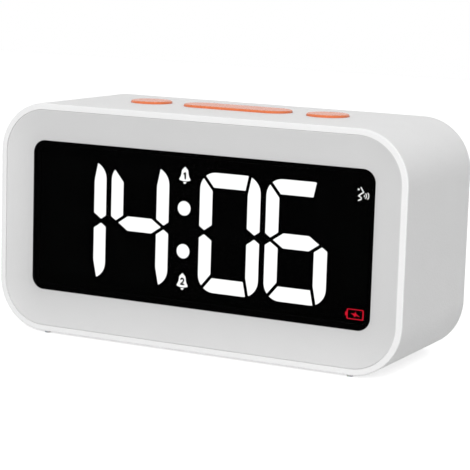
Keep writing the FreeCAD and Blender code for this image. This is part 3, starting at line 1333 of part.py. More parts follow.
def rounded_path(points):
    """Straight runs joined by tangent arcs, as large as the runs beside them allow."""
    edges = []
    start = points[0]
    for before, corner, after in zip(points, points[1:], points[2:]):
        come, leave = corner - before, after - corner
        reach = 0.45 * min(come.Length, leave.Length)
        come.normalize()
        leave.normalize()
        first, last = corner - come * reach, corner + leave * reach
        half_turn = come.getAngle(leave) / 2
        radius = reach / math.tan(half_turn)
        inward = leave - come
        inward.normalize()
        middle = corner + inward * (radius / math.cos(half_turn) - radius)
        edges += [Part.makeLine(start, first), Part.Arc(first, middle, last).toShape()]
        start = last
    edges.append(Part.makeLine(start, points[-1]))
    return Part.Wire(edges)


def wire(points):
    """One round wire along a route."""
    profile = Part.makeCircle(number("lead_radius"), points[0], points[1] - points[0])
    return rounded_path(points).makePipeShell([Part.Wire(profile)], True, True)


def make_speaker_leads():
    """From the speaker's terminal block, past the clamp, and down into a plug at the main board's edge."""
    half_pitch = number("lead_pitch / 2")
    start_x = number("-1 * speaker_offset + terminal_reach + terminal_side / 2")
    start_y, start_z = number("speaker_rim_back - terminal_depth / 2"), number("body_middle")
    plug_side = number("speaker_plug_offset - plug_width / 2")
    plug_y = number("main_board_front - connector_depth / 2")
    plug_z = number("body_middle - speaker_plug_drop")
    wires = []
    for shift in (-half_pitch, half_pitch):
        bend_x = start_x + number("lead_bend") + shift
        upper, lower = start_z + shift, plug_z + shift
        route = [
            Vector(start_x, start_y, upper),
            Vector(bend_x, start_y, upper),
            Vector(bend_x, plug_y, lower),
            Vector(plug_side, plug_y, lower),
        ]
        wires.append(wire(route))
    node(shaped("SpeakerLeads", Part.makeCompound(wires)), "speaker_leads")


def make_cell_leads():
    """From the cell's cap and from its edge, back under the main board, and up into a plug."""
    half_pitch = number("lead_pitch / 2")
    can_end = number("cell_offset + cell_length / 2")
    start_y, axis_z = number("cell_line"), number("cell_height")
    plug_x, plug_y = number("cell_plug_offset"), number("main_board_front - connector_depth / 2")
    plug_bottom = number("body_middle - cell_plug_drop - plug_height / 2")
    ends = [
        (can_end + number("cell_tip"), axis_z, plug_x - half_pitch),
        (can_end, axis_z - number("cell_radius / 2"), plug_x + half_pitch),
    ]
    wires = []
    for start_x, z, x in ends:
        route = [
            Vector(start_x, start_y, z),
            Vector(x, start_y, z),
            Vector(x, plug_y, z),
            Vector(x, plug_y, plug_bottom),
        ]
        wires.append(wire(route))
    node(shaped("CellLeads", Part.makeCompound(wires)), "cell_leads")


def wire_plugs():
    """The plugs that the two pairs of wires end in."""
    y = "main_board_front - connector_depth / 2"
    size = ("plug_width", "connector_depth", "plug_height")
    names = ("speaker", "cell")
    spots = [("%s_plug_offset" % name, y, "body_middle - %s_plug_drop" % name) for name in names]
    return [block("WirePlug", spot, size) for spot in spots]


def write_parts():
    """Checks every object, then writes each node's solids to a STEP file of its own."""
    doc.recompute()
    failed = [item.Label for item in doc.Objects if "Invalid" in item.State or "Error" in item.State]
    for item in nodes:
        if item.Shape.isNull() or not item.Shape.isValid() or not item.Shape.Solids:
            failed.append(item.Label)
    if failed:
        raise RuntimeError("not built: %s" % ", ".join(failed))
    os.makedirs("parts", exist_ok=True)
    for item in nodes:
        item.Shape.exportStep("parts/%s.step" % item.Label)
    print("%d nodes, %d solids" % (len(nodes), sum(len(item.Shape.Solids) for item in nodes)))


fill_sheets()
make_housing()
make_feet()
make_bezel()
make_lens()
make_gasket()
make_display()
make_top_controls()
make_cover()
make_cover_screws()
make_rear_controls()
make_usb_socket()
make_main_board()
make_speaker()
make_speaker_clamp()
make_cell()
make_speaker_leads()
make_cell_leads()
node(group("Connectors", make_ribbons() + wire_plugs()), "connectors")
write_parts()
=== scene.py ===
"""Finishes, lit display and studio for a white LED desk alarm clock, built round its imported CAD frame.

Objects are in metres, in the frame's own axes: X to the clock's right, Y from front to back, Z up.
Lengths that are written as numbers are in millimetres, unless a setting's unit says otherwise.
"""

import math

import bmesh
import bpy
from bpy.props import BoolProperty, FloatProperty, FloatVectorProperty, IntProperty, PointerProperty
from mathutils import Matrix, Vector


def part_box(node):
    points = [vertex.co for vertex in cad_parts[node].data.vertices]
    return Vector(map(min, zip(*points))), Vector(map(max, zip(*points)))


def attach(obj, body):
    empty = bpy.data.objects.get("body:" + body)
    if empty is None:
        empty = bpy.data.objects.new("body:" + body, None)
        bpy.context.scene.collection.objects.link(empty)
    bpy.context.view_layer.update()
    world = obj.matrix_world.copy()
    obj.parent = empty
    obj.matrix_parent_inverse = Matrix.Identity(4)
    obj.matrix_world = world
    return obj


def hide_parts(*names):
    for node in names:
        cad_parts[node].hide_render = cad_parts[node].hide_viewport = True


bl_info = {
    "name": "LED Desk Alarm Clock",
    "version": (1, 0, 0),
    "blender": (4, 5, 0),
    "location": "3D View > Sidebar > Desk Clock",
    "description": "Finishes the pieces of a desk alarm clock, lights its display and sets up its stage",
    "category": "Object",
}

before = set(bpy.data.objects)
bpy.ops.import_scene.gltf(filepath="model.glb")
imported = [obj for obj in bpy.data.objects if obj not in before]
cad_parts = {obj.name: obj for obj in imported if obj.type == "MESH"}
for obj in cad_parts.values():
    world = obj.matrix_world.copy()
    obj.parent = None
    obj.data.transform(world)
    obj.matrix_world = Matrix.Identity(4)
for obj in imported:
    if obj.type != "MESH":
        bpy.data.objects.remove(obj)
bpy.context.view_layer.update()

MM = 0.001

# A wave texture whose scale is this over a spacing has one band per spacing.
WAVE_TURNS = math.pi / 10

# Sockets of a colour mix, which go by number because its float, vector and colour sockets share their names.
FACTOR, FIRST_COLOUR, SECOND_COLOUR, MIXED_COLOUR = 0, 6, 7, 2

# The window in the bezel: its corner radius, and the gap between its edge and the lens.
WINDOW_RADIUS = 4.2
LENS_CLEARANCE = 0.1
# Outside the window's edge, the black ink of its walls thins out between these two distances.
INK_FADE = (0.004, 0.02)
# Painted shade and light on the bezel: the share of its colour at the window, darker as if in shade there,
# and at the rim, lighter as if lit, and the power by which it climbs between them.
BEZEL_PAINTED_SHADE = (0.86, 1.05)
BEZEL_SHADE_CLIMB = 0.4

# The rear keys' marks, each a little smaller than its hollow, and how deep they lie under the key's face.
MARK_LENGTH = 3.36
MARK_WIDTH = 0.76
MARK_SQUARE = 1.16
MARK_DEPTH = 0.249
INK_FILM = 0.02

# Symbols on the cover, each round its own middle: a loudspeaker with waves, one with a cross, and a bolt.
SPEAKER_HORN = [(-0.9, -0.45), (-0.9, 0.45), (-0.4, 0.45), (0.3, 1.1), (0.3, -1.1), (-0.4, -0.45)]
BOLT = [(-0.9, -0.15), (0.35, 1.5), (0.15, 0.3), (0.9, 0.3), (-0.35, -1.5), (-0.15, -0.15)]
SYMBOL_STROKE = 0.3
SOUND_WAVES = (1.1, 1.8)
MUTE_CROSS = 1.7
MUTE_GAP = 1.5
# Where the symbols stand: from the slot's middle to each loudspeaker, and above the pieces that they name.
SOUND_ON_SHIFT = 3.2
SOUND_OFF_SHIFT = -4.6
SWITCH_SYMBOL_RISE = 3.0
SOCKET_SYMBOL_RISE = 3.6
# The knob of the voice switch rests at one end of its slot, this far from the slot's middle.
SWITCH_MIDDLE = 1.0

PLUNGERS = [place + "_plunger" for place in ("left", "snooze", "right", "set", "minus", "plus")]
DIGITS = ("digit_hour_tens", "digit_hour_units", "digit_minute_tens", "digit_minute_units")
LIT_SEGMENTS = {
    0: "abcdef",
    1: "bc",
    2: "abdeg",
    3: "abcdg",
    4: "bcfg",
    5: "acdfg",
    6: "acdefg",
    7: "abc",
    8: "abcdefg",
    9: "abcdfg",
}
# Shares of a digit's width and height between which a segment's middle isn't at a side, the foot or the top.
INNER_FROM, INNER_TO = 0.3, 0.7
# Corners of a segment that are closer than this are welded, because the CAD mesh has one for each face.
WELD = 0.001

# Soft boxes: name, turn in degrees from the front to the clock's right, degrees above level, power's setting.
SOFT_BOXES = (
    ("key_soft_box", 19.5, 28.0, "key_light"),
    ("top_soft_box", 80.0, 70.0, "top_light"),
    ("rear_soft_box", 180.0, 15.0, "rear_light"),
    ("left_soft_box", -95.0, 15.0, "left_light"),
)
# Glow of the floor for rays that only look at it, so that it is as white as the background.
FLOOR_GLOW = 0.73


def linear(hex_colour):
    """The linear RGBA colour of an sRGB hex value."""
    channels = [int(hex_colour[i : i + 2], 16) / 255 for i in (0, 2, 4)]
    return *[c / 12.92 if c <= 0.04045 else ((c + 0.055) / 1.055) ** 2.4 for c in channels], 1.0


# ---------------------------------------------------------------- settings


def colour_property(name, description, hex_colour):
    """A linear colour that the user can change, given by its sRGB hex value."""
    return FloatVectorProperty(
        name=name, description=description, default=linear(hex_colour), size=4, min=0.0, max=1.0,
        subtype="COLOR",
    )


class ClockFinish(bpy.types.PropertyGroup):
    """Colours of the pieces."""

    shell: colour_property("Sleeve", "White of the moulded sleeve and rear cover", "F4F4F4")
    bezel: colour_property("Bezel", "Pale grey of the dished front bezel and the rear keys", "D6D6D6")
    buttons: colour_property("Buttons", "Orange of the three buttons on top", "E67A49")
    feet: colour_property("Feet", "Milky white of the silicone feet", "ECECEA")
    board: colour_property("Boards", "Solder mask of the circuit boards", "1C5A36")
    cell: colour_property("Cell", "Shrink wrap of the lithium cell", "2C62A8")
    ink: colour_property("Ink", "Marks of the rear keys, the voice switch and the socket", "6E7074")


class ClockDisplay(bpy.types.PropertyGroup):
    """What the display shows, and how brightly."""

    hour: IntProperty(name="Hour", description="Hour shown", default=14, min=0, max=23)
    minute: IntProperty(name="Minute", description="Minute shown", default=6, min=0, max=59)
    alarm_1: BoolProperty(name="Alarm 1", description="Light the first bell", default=True)
    alarm_2: BoolProperty(name="Alarm 2", description="Light the second bell", default=True)
    voice: BoolProperty(name="Voice", description="Light the voice symbol", default=True)
    charging: BoolProperty(name="Charging", description="Light the battery symbol", default=True)
    glow: FloatProperty(name="Glow", description="Emission of the white segments", default=5.2, min=0.0)
    voice_glow: FloatProperty(
        name="Voice glow", description="Emission of the voice symbol's thin lines", default=5.6, min=0.0
    )
    red_glow: FloatProperty(
        name="Red glow", description="Emission of the battery symbol", default=3.9, min=0.0
    )
    lens_tint: FloatProperty(
        name="Lens tint", description="Share of the light that each face of the smoked lens holds back",
        default=0.55, min=0.0, max=1.0, subtype="FACTOR",
    )


class ClockStage(bpy.types.PropertyGroup):
    """Floor, lights and camera."""

    floor_side: FloatProperty(
        name="Floor side", description="Side of the square floor", default=2.4, unit="LENGTH"
    )
    ambient: FloatProperty(
        name="Ambient", description="World light that falls on the clock", default=0.2, min=0.0
    )
    box_side: FloatProperty(
        name="Soft box side", description="Side of every square soft box", default=0.9, unit="LENGTH"
    )
    box_distance: FloatProperty(
        name="Soft box distance", description="From the clock to every soft box", default=1.6, unit="LENGTH"
    )
    key_light: FloatProperty(
        name="Key light", description="Power of the soft box in front and above", default=19.6, unit="POWER"
    )
    top_light: FloatProperty(
        name="Top light", description="Power of the soft box high on the right", default=3.0, unit="POWER"
    )
    rear_light: FloatProperty(
        name="Rear light", description="Power of the soft box behind", default=7.5, unit="POWER"
    )
    left_light: FloatProperty(
        name="Left light", description="Power of the soft box on the left", default=5.4, unit="POWER"
    )
    turn: FloatProperty(
        name="Turn", description="Camera's turn to the clock's right", default=math.radians(27.16),
        unit="ROTATION",
    )
    rise: FloatProperty(
        name="Rise", description="Camera's angle above level", default=math.radians(9.05), unit="ROTATION"
    )
    roll: FloatProperty(
        name="Roll", description="Camera's lean", default=math.radians(1.752), unit="ROTATION"
    )
    distance: FloatProperty(
        name="Distance", description="From the clock to the camera", default=0.5937, unit="LENGTH"
    )
    slide: FloatProperty(
        name="Slide", description="Camera's offset to its own right", default=0.00143, unit="LENGTH"
    )
    lift: FloatProperty(
        name="Lift", description="Camera's offset upwards", default=-0.003364, unit="LENGTH"
    )
    lens: FloatProperty(name="Lens", description="Focal length in millimetres", default=139.95)


# ---------------------------------------------------------------- materials


def add(tree, kind, inputs=None, **settings):
    """Adds a node with its settings, and sets or links its inputs."""
    node = tree.nodes.new(kind)
    for name, value in settings.items():
        setattr(node, name, value)
    for name, value in (inputs or {}).items():
        if isinstance(value, bpy.types.NodeSocket):
            tree.links.new(value, node.inputs[name])
        else:
            node.inputs[name].default_value = value
    return node


def start_material(name, **values):
    """A new material with one Principled shader, whose sockets take the values.

    Gives the material, its tree, its shader and the place on the clock that its textures use.
    """
    material = bpy.data.materials.new(name)
    material.use_nodes = True
    tree = material.node_tree
    tree.nodes.clear()
    inputs = {key.replace("_", " "): value for key, value in values.items()}
    shader = add(tree, "ShaderNodeBsdfPrincipled", inputs)
    add(tree, "ShaderNodeOutputMaterial", {"Surface": shader.outputs["BSDF"]})
    return material, tree, shader, add(tree, "ShaderNodeTexCoord").outputs["Object"]


def pattern(place, size, **more):
    """Inputs of a texture whose blotches or cells are about that many millimetres apart."""
    return {"Vector": place, "Scale": 1 / (size * MM), **more}


def vary(tree, shader, texture, socket, low, high):
    """Drives one of the shader's sockets between two values or two colours with a texture."""
    if shader.inputs[socket].type == "RGBA":
        colours = {FACTOR: texture, FIRST_COLOUR: low, SECOND_COLOUR: high}
        driven = add(tree, "ShaderNodeMix", colours, data_type="RGBA").outputs[MIXED_COLOUR]
    else:
        driven = add(tree, "ShaderNodeMapRange", {"Value": texture, "To Min": low, "To Max": high}).outputs[0]
    tree.links.new(driven, shader.inputs[socket])


def relief(tree, shader, texture, depth):
    """Raises the surface by a texture, depth in millimetres from its lowest to its highest."""
    inputs = {"Height": texture, "Distance": depth * MM, "Strength": 1.0}
    tree.links.new(add(tree, "ShaderNodeBump", inputs).outputs[0], shader.inputs["Normal"])


def shaded(colour, share):
    """The colour with that share of its light."""
    return *[c * share for c in colour[:3]], 1.0


def moulded(name, colour, gloss, grain, depth, drift=18.0, fade=0.96, touch=0.06, **values):
    """A moulded plastic: relief of its mould's grain, a slow drift of tone, and a sheen changed by handling.

    The tone drifts down to the share fade of the colour, over about drift millimetres. Handling moves the
    roughness by touch either way.
    """
    material, tree, shader, place = start_material(name, **values)
    grains = add(tree, "ShaderNodeTexNoise", pattern(place, grain)).outputs[0]
    tones = add(tree, "ShaderNodeTexNoise", pattern(place, drift, Detail=3.0)).outputs[0]
    prints = add(tree, "ShaderNodeTexNoise", pattern(place, drift / 3, Detail=4.0, Distortion=0.6)).outputs[0]
    vary(tree, shader, tones, "Base Color", shaded(colour, fade), colour)
    vary(tree, shader, prints, "Roughness", gloss - touch, gloss + touch)
    relief(tree, shader, grains, depth)
    return material


def plated(name, colour, gloss, spangle, depth, stain, rubbed=0.08, dulled=0.1):
    """A plated metal: crystals of the plating in its tone, and fine wear in its sheen.

    The wear darkens it down to the share stain of the colour, and makes it smoother by rubbed or rougher
    by dulled.
    """
    material, tree, shader, place = start_material(name, Metallic=1.0)
    cells = add(tree, "ShaderNodeTexVoronoi", pattern(place, spangle)).outputs["Distance"]
    wear = add(tree, "ShaderNodeTexNoise", pattern(place, spangle * 3, Detail=5.0)).outputs[0]
    stains = {FACTOR: wear, FIRST_COLOUR: shaded(colour, stain), SECOND_COLOUR: colour}
    stained = add(tree, "ShaderNodeMix", stains, data_type="RGBA").outputs[MIXED_COLOUR]
    vary(tree, shader, cells, "Base Color", stained, colour)
    vary(tree, shader, wear, "Roughness", gloss - rubbed, gloss + dulled)
    relief(tree, shader, wear, depth)
    return material


def eroded_white_abs(name, colour):
    """ABS from a spark-eroded mould: a fine, soft satin, never a sharp highlight.

    Its real grain is about 0.1 mm, and is drawn at 0.6 mm so that it shows.
    """
    return moulded(name, colour, gloss=0.48, grain=0.6, depth=0.08, IOR=1.54)


def satin_white_abs(name, colour):
    """ABS from a blasted mould: smoother than the sleeve, with a wide, pale sheen on the curve of the dish.

    Its real grain is finer than 0.1 mm, and is drawn at 0.45 mm.
    """
    return moulded(name, colour, gloss=0.4, grain=0.45, depth=0.03, IOR=1.54)


def beyond_window(tree, place):
    """How far a spot lies outside the window's edge, in metres: its distance to a bar with round corners."""
    low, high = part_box("display_lens")
    radius = WINDOW_RADIUS * MM
    half = (high - low) / 2
    straight = (half.x + LENS_CLEARANCE * MM - radius, 0.0, half.z + LENS_CLEARANCE * MM - radius)
    spot = place
    for step, operand in (
        ("SUBTRACT", (low + high) / 2),  # seen from the window's middle
        ("MULTIPLY", (1.0, 0.0, 1.0)),  # across the front only
        ("ABSOLUTE", (0.0, 0.0, 0.0)),  # in one quarter of the window, as the others are the same
        ("SUBTRACT", straight),  # seen from the middle of that quarter's corner
        ("MAXIMUM", (0.0, 0.0, 0.0)),  # along a straight edge, only the way across it counts
    ):
        spot = add(tree, "ShaderNodeVectorMath", {0: spot, 1: operand}, operation=step).outputs[0]
    reach = add(tree, "ShaderNodeVectorMath", {0: spot}, operation="LENGTH").outputs["Value"]
    return add(tree, "ShaderNodeMath", {0: reach, 1: radius}, operation="SUBTRACT").outputs[0]


def inked_window_painted_shade_abs(colour):
    """The bezel's satin ABS, with black ink on the walls of its window.

    Its colour carries painted shade and light: it is darker by the window, where the dish goes down to it,
    and lighter towards the rim.
    """
    material = satin_white_abs("satin_white_abs_bezel", colour)
    tree = material.node_tree
    shader = tree.nodes["Principled BSDF"]
    moulded_colour = shader.inputs["Base Color"].links[0].from_socket
    distance = beyond_window(tree, tree.nodes["Texture Coordinate"].outputs["Object"])
    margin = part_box("front_bezel")[1].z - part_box("display_lens")[1].z
    # Painted shade: the colour is darkened by the window and lightened towards the rim, in place of the
    # dish's own shading.
    across = add(tree, "ShaderNodeMapRange", {"Value": distance, "From Max": margin}).outputs[0]
    shade_climb = add(tree, "ShaderNodeMath", {0: across, 1: BEZEL_SHADE_CLIMB}, operation="POWER").outputs[0]
    tones = {"Value": shade_climb, "To Min": BEZEL_PAINTED_SHADE[0], "To Max": BEZEL_PAINTED_SHADE[1]}
    painted_shade = add(tree, "ShaderNodeMapRange", tones).outputs[0]
    lit = {0: moulded_colour, "Scale": painted_shade}
    shade_painted_colour = add(tree, "ShaderNodeVectorMath", lit, operation="SCALE").outputs[0]
    fade = {"Value": distance, "From Min": INK_FADE[0] * MM, "From Max": INK_FADE[1] * MM}
    bare = add(tree, "ShaderNodeMapRange", fade).outputs[0]
    vary(tree, shader, bare, "Base Color", linear("080808"), shade_painted_colour)
    return material


def polished_orange_abs(colour):
    """Orange ABS from a polished mould: warm seen steeply, and a pale reflection at a grazing angle.

    What the polishing left is a waviness of about 0.9 mm that only the reflection shows.
    """
    return moulded(
        "polished_orange_abs", colour, gloss=0.27, grain=0.9, depth=0.002, drift=9.0, fade=0.95, IOR=1.54,
        Specular_IOR_Level=0.4,
    )


def pad_printed_ink(colour):
    """Pad-printed ink: a dull, thin film with pinholes from the pad, some 0.15 mm across."""
    material, tree, shader, place = start_material("pad_printed_ink", IOR=1.5)
    pinholes = add(tree, "ShaderNodeTexNoise", pattern(place, 0.15, Detail=4.0, Roughness=0.7)).outputs[0]
    vary(tree, shader, pinholes, "Base Color", shaded(colour, 0.85), shaded(colour, 1.1))
    vary(tree, shader, pinholes, "Roughness", 0.5, 0.7)
    relief(tree, shader, pinholes, depth=0.004)
    return material


def matt_black_abs():
    """Black ABS from a coarse mould: dull, and grey only where light falls on it steeply.

    Its real grain is about 0.15 mm, and is drawn at 0.4 mm.
    """
    return moulded("matt_black_abs", linear("131314"), gloss=0.62, grain=0.4, depth=0.012, fade=0.8, IOR=1.54)


def light_trap_abs():
    """Black ABS from a coarse mould, behind the lens: next to no light comes back, so the window is black.

    Its grain is drawn as coarse as on the other black pieces.
    """
    return moulded(
        "light_trap_black_abs", linear("050505"), gloss=0.85, grain=0.4, depth=0.004, fade=0.7, IOR=1.54,
        Specular_IOR_Level=0.02,
    )


def moulded_black_nylon():
    """Glass-filled black nylon: a dull surface with pale flecks of fibre, 0.25 mm long, just under it."""
    material, tree, shader, place = start_material("moulded_black_nylon", IOR=1.53)
    flecks = add(tree, "ShaderNodeTexNoise", pattern(place, 0.25, Detail=6.0, Roughness=0.75)).outputs[0]
    vary(tree, shader, flecks, "Base Color", linear("111112"), linear("3A3A3C"))
    vary(tree, shader, flecks, "Roughness", 0.42, 0.62)
    relief(tree, shader, flecks, depth=0.01)
    return material


def milky_silicone(colour):
    """Milky silicone: light enters it, so that it looks soft, with specks of dust on its tacky skin.

    Real dust is about 0.05 mm across, and is drawn at 0.3 mm.
    """
    material, tree, shader, place = start_material(
        "milky_silicone", IOR=1.41, Subsurface_Weight=0.3, Subsurface_Scale=0.6 * MM
    )
    dust = add(tree, "ShaderNodeTexNoise", pattern(place, 0.3, Detail=6.0, Roughness=0.7)).outputs[0]
    vary(tree, shader, dust, "Base Color", shaded(colour, 0.9), colour)
    vary(tree, shader, dust, "Roughness", 0.45, 0.7)
    relief(tree, shader, dust, depth=0.006)
    return material


def smoked_acrylic(tint):
    """Polished smoked acrylic with an anti-reflection film: black and faintly glossy, with marks of wiping.

    The marks are as wide as a fingertip, 12 mm.
    """
    material, tree, shader, place = start_material(
        "smoked_acrylic", Base_Color=linear("020202"), IOR=1.49, Specular_IOR_Level=0.012, Alpha=tint
    )
    wipes = add(tree, "ShaderNodeTexNoise", pattern(place, 12.0, Detail=4.0, Distortion=1.5)).outputs[0]
    vary(tree, shader, wipes, "Roughness", 0.04, 0.09)
    return material


def foam_tape():
    """Black acrylic foam tape: dead matt, with open pores of a tenth of a millimetre, drawn at 0.3 mm."""
    material, tree, shader, place = start_material("black_foam_tape", IOR=1.48, Specular_IOR_Level=0.05)
    pores = add(tree, "ShaderNodeTexVoronoi", pattern(place, 0.3)).outputs["Distance"]
    vary(tree, shader, pores, "Base Color", linear("060606"), linear("1A1A1A"))
    vary(tree, shader, pores, "Roughness", 0.95, 0.8)
    relief(tree, shader, pores, depth=0.04)
    return material


def lit_resin(name, colour, glow):
    """Milky epoxy with an LED behind it: an even glow that is a little fuller where the resin is thicker."""
    material, tree, shader, place = start_material(name, IOR=1.54, Emission_Strength=glow)
    cloud = add(tree, "ShaderNodeTexNoise", pattern(place, 1.5, Detail=3.0)).outputs[0]
    vary(tree, shader, cloud, "Emission Color", shaded(colour, 0.97), colour)
    vary(tree, shader, cloud, "Base Color", shaded(colour, 0.85), colour)
    vary(tree, shader, cloud, "Roughness", 0.5, 0.6)
    return material


def unlit_resin():
    """Grey-tinted epoxy with no light behind it: it all but disappears in the black block."""
    material, tree, shader, place = start_material("unlit_tinted_resin", IOR=1.54, Specular_IOR_Level=0.05)
    cloud = add(tree, "ShaderNodeTexNoise", pattern(place, 1.5, Detail=3.0)).outputs[0]
    vary(tree, shader, cloud, "Base Color", linear("070708"), linear("0D0D0E"))
    vary(tree, shader, cloud, "Roughness", 0.6, 0.7)
    return material


def led_package():
    """White moulded packages with yellow phosphor gel: yellow specks on cream, about 1 mm apart."""
    material, tree, shader, place = start_material("moulded_led_package", IOR=1.55)
    gel = add(tree, "ShaderNodeTexVoronoi", pattern(place, 1.0)).outputs["Distance"]
    vary(tree, shader, gel, "Base Color", linear("E8C83C"), linear("F2EFE2"))
    vary(tree, shader, gel, "Roughness", 0.15, 0.5)
    relief(tree, shader, gel, depth=0.03)
    return material


def printed_board(colour):
    """Glass-epoxy board under green solder mask: tracks stand up a little and look paler, pads are tinned.

    Real tracks are about 0.5 mm apart, and are drawn 3.2 mm apart so that they show. Pads are 2.5 mm apart.
    """
    material, tree, shader, place = start_material(
        "solder_masked_board", IOR=1.55, Coat_Weight=0.4, Coat_Roughness=0.15
    )
    tracks = pattern(place, 3.2, Randomness=0.85)
    tracks = add(tree, "ShaderNodeTexVoronoi", tracks, feature="DISTANCE_TO_EDGE").outputs["Distance"]
    lines = add(tree, "ShaderNodeMapRange", {"Value": tracks, "From Min": 0.1, "From Max": 0.16}).outputs[0]
    dots = add(tree, "ShaderNodeTexVoronoi", pattern(place, 2.5, Randomness=0.5)).outputs["Distance"]
    pads = add(tree, "ShaderNodeMapRange", {"Value": dots, "From Min": 0.2, "From Max": 0.17}).outputs[0]
    greens = {FACTOR: lines, FIRST_COLOUR: shaded(colour, 1.5), SECOND_COLOUR: colour}
    mask = add(tree, "ShaderNodeMix", greens, data_type="RGBA").outputs[MIXED_COLOUR]
    vary(tree, shader, pads, "Base Color", mask, linear("C9CBC8"))
    tree.links.new(pads, shader.inputs["Metallic"])
    vary(tree, shader, pads, "Roughness", 0.45, 0.28)
    relief(tree, shader, lines, depth=0.035)
    return material


def cold_headed_zinc():
    """Steel screws with bright zinc: bluish grey, with small crystals and patches that a bit has rubbed.

    Real crystals are about 0.05 mm across, and are drawn at 0.3 mm.
    """
    return plated("zinc_plated_steel", linear("C4C8CF"), gloss=0.32, spangle=0.3, depth=0.006, stain=0.7)


def nickel_plate():
    """Pressed steel with nickel: warm and mirror-like, with faint cloudy patches of about 0.6 mm."""
    return plated("nickel_plated_steel", linear("D2CFC6"), gloss=0.2, spangle=0.6, depth=0.002, stain=0.85)


def drawn_aluminium():
    """Drawn aluminium can: soft lines along its length, 0.12 mm apart, and a dull, pale sheen."""
    material, tree, shader, place = start_material("drawn_aluminium", Metallic=1.0)
    drawn = add(tree, "ShaderNodeMapping", {"Vector": place, "Scale": (1.0, 0.06, 1.0)}).outputs[0]
    lines = add(tree, "ShaderNodeTexNoise", pattern(drawn, 0.12, Detail=3.0)).outputs[0]
    vary(tree, shader, lines, "Base Color", linear("B9BBBE"), linear("D8D9DB"))
    vary(tree, shader, lines, "Roughness", 0.28, 0.45)
    relief(tree, shader, lines, depth=0.004)
    return material


def moulded_epoxy():
    """Transfer-moulded black epoxy: dull grey-black with a sandy skin, some 0.15 mm from grain to grain."""
    material, tree, shader, place = start_material("moulded_chip_epoxy", IOR=1.57)
    sand = add(tree, "ShaderNodeTexNoise", pattern(place, 0.15, Detail=5.0, Roughness=0.8)).outputs[0]
    vary(tree, shader, sand, "Base Color", linear("1B1B1C"), linear("2C2C2E"))
    vary(tree, shader, sand, "Roughness", 0.55, 0.75)
    relief(tree, shader, sand, depth=0.01)
    return material


def cream_nylon():
    """Unfilled cream nylon: waxy, lets a little light in, with flow marks 3 mm apart from its gate."""
    material, tree, shader, place = start_material(
        "moulded_cream_nylon", IOR=1.53, Subsurface_Weight=0.1, Subsurface_Scale=0.5 * MM
    )
    flow = add(tree, "ShaderNodeTexNoise", pattern(place, 3.0, Detail=3.0, Distortion=2.0)).outputs[0]
    vary(tree, shader, flow, "Base Color", linear("E6DEC6"), linear("F0EAD8"))
    vary(tree, shader, flow, "Roughness", 0.38, 0.52)
    relief(tree, shader, flow, depth=0.01)
    return material


def closed_cell_foam():
    """Closed-cell foam, cut: small round cells of half a millimetre that catch shadow."""
    material, tree, shader, place = start_material("closed_cell_foam", IOR=1.5)
    cells = add(tree, "ShaderNodeTexVoronoi", pattern(place, 0.5)).outputs["Distance"]
    vary(tree, shader, cells, "Base Color", linear("1A1A1B"), linear("3A3A3B"))
    vary(tree, shader, cells, "Roughness", 0.95, 0.85)
    relief(tree, shader, cells, depth=0.12)
    return material


def lacquered_steel():
    """Pressed steel with black stoving lacquer: glossy black with a light orange peel of 0.8 mm."""
    material, tree, shader, place = start_material(
        "black_lacquered_steel", IOR=1.5, Coat_Weight=0.5, Coat_Roughness=0.1
    )
    peel = add(tree, "ShaderNodeTexNoise", pattern(place, 0.8, Detail=1.0)).outputs[0]
    vary(tree, shader, peel, "Base Color", linear("121213"), linear("202022"))
    vary(tree, shader, peel, "Roughness", 0.25, 0.4)
    relief(tree, shader, peel, depth=0.01)
    return material


def pressed_paper():
    """Pressed paper cone: charcoal felt with loose fibres across each other, about 0.3 mm apart."""
    material, tree, shader, place = start_material(
        "pressed_paper_cone", IOR=1.45, Sheen_Weight=0.25, Sheen_Roughness=0.6
    )
    felt = pattern(place, 0.3, Detail=8.0, Roughness=0.8, Distortion=3.0)
    fibres = add(tree, "ShaderNodeTexNoise", felt).outputs[0]
    vary(tree, shader, fibres, "Base Color", linear("272523"), linear("5A5650"))
    vary(tree, shader, fibres, "Roughness", 0.85, 0.97)
    relief(tree, shader, fibres, depth=0.05)
    return material


def ground_ferrite():
    """Sintered ferrite, ground on its faces: dark grey ceramic with chipped specks 0.4 mm apart."""
    material, tree, shader, place = start_material("ground_ferrite", IOR=2.3, Specular_IOR_Level=0.3)
    chips = add(tree, "ShaderNodeTexVoronoi", pattern(place, 0.4)).outputs["Distance"]
    vary(tree, shader, chips, "Base Color", linear("38383B"), linear("57575B"))
    vary(tree, shader, chips, "Roughness", 0.5, 0.7)
    relief(tree, shader, chips, depth=0.02)
    return material


def shrink_wrap(colour):
    """PVC shrink wrap: glossy blue film with puckers some 2.5 mm apart where it has drawn tight."""
    material, tree, shader, place = start_material(
        "pvc_shrink_wrap", IOR=1.53, Coat_Weight=0.3, Coat_Roughness=0.08
    )
    puckers = add(tree, "ShaderNodeTexNoise", pattern(place, 2.5, Detail=2.0, Distortion=1.0)).outputs[0]
    vary(tree, shader, puckers, "Base Color", shaded(colour, 0.85), colour)
    vary(tree, shader, puckers, "Roughness", 0.2, 0.32)
    relief(tree, shader, puckers, depth=0.06)
    return material


def ribbon_pvc():
    """Flat cable in grey PVC: one rib for each wire, 1 mm apart across it."""
    material, tree, shader, place = start_material("ribbed_grey_pvc", IOR=1.53)
    bands = {"Vector": place, "Scale": WAVE_TURNS / (1.0 * MM)}
    ribs = add(tree, "ShaderNodeTexWave", bands, bands_direction="X").outputs["Fac"]
    vary(tree, shader, ribs, "Base Color", linear("9B9DA0"), linear("BFC1C4"))
    vary(tree, shader, ribs, "Roughness", 0.55, 0.42)
    relief(tree, shader, ribs, depth=0.15)
    return material


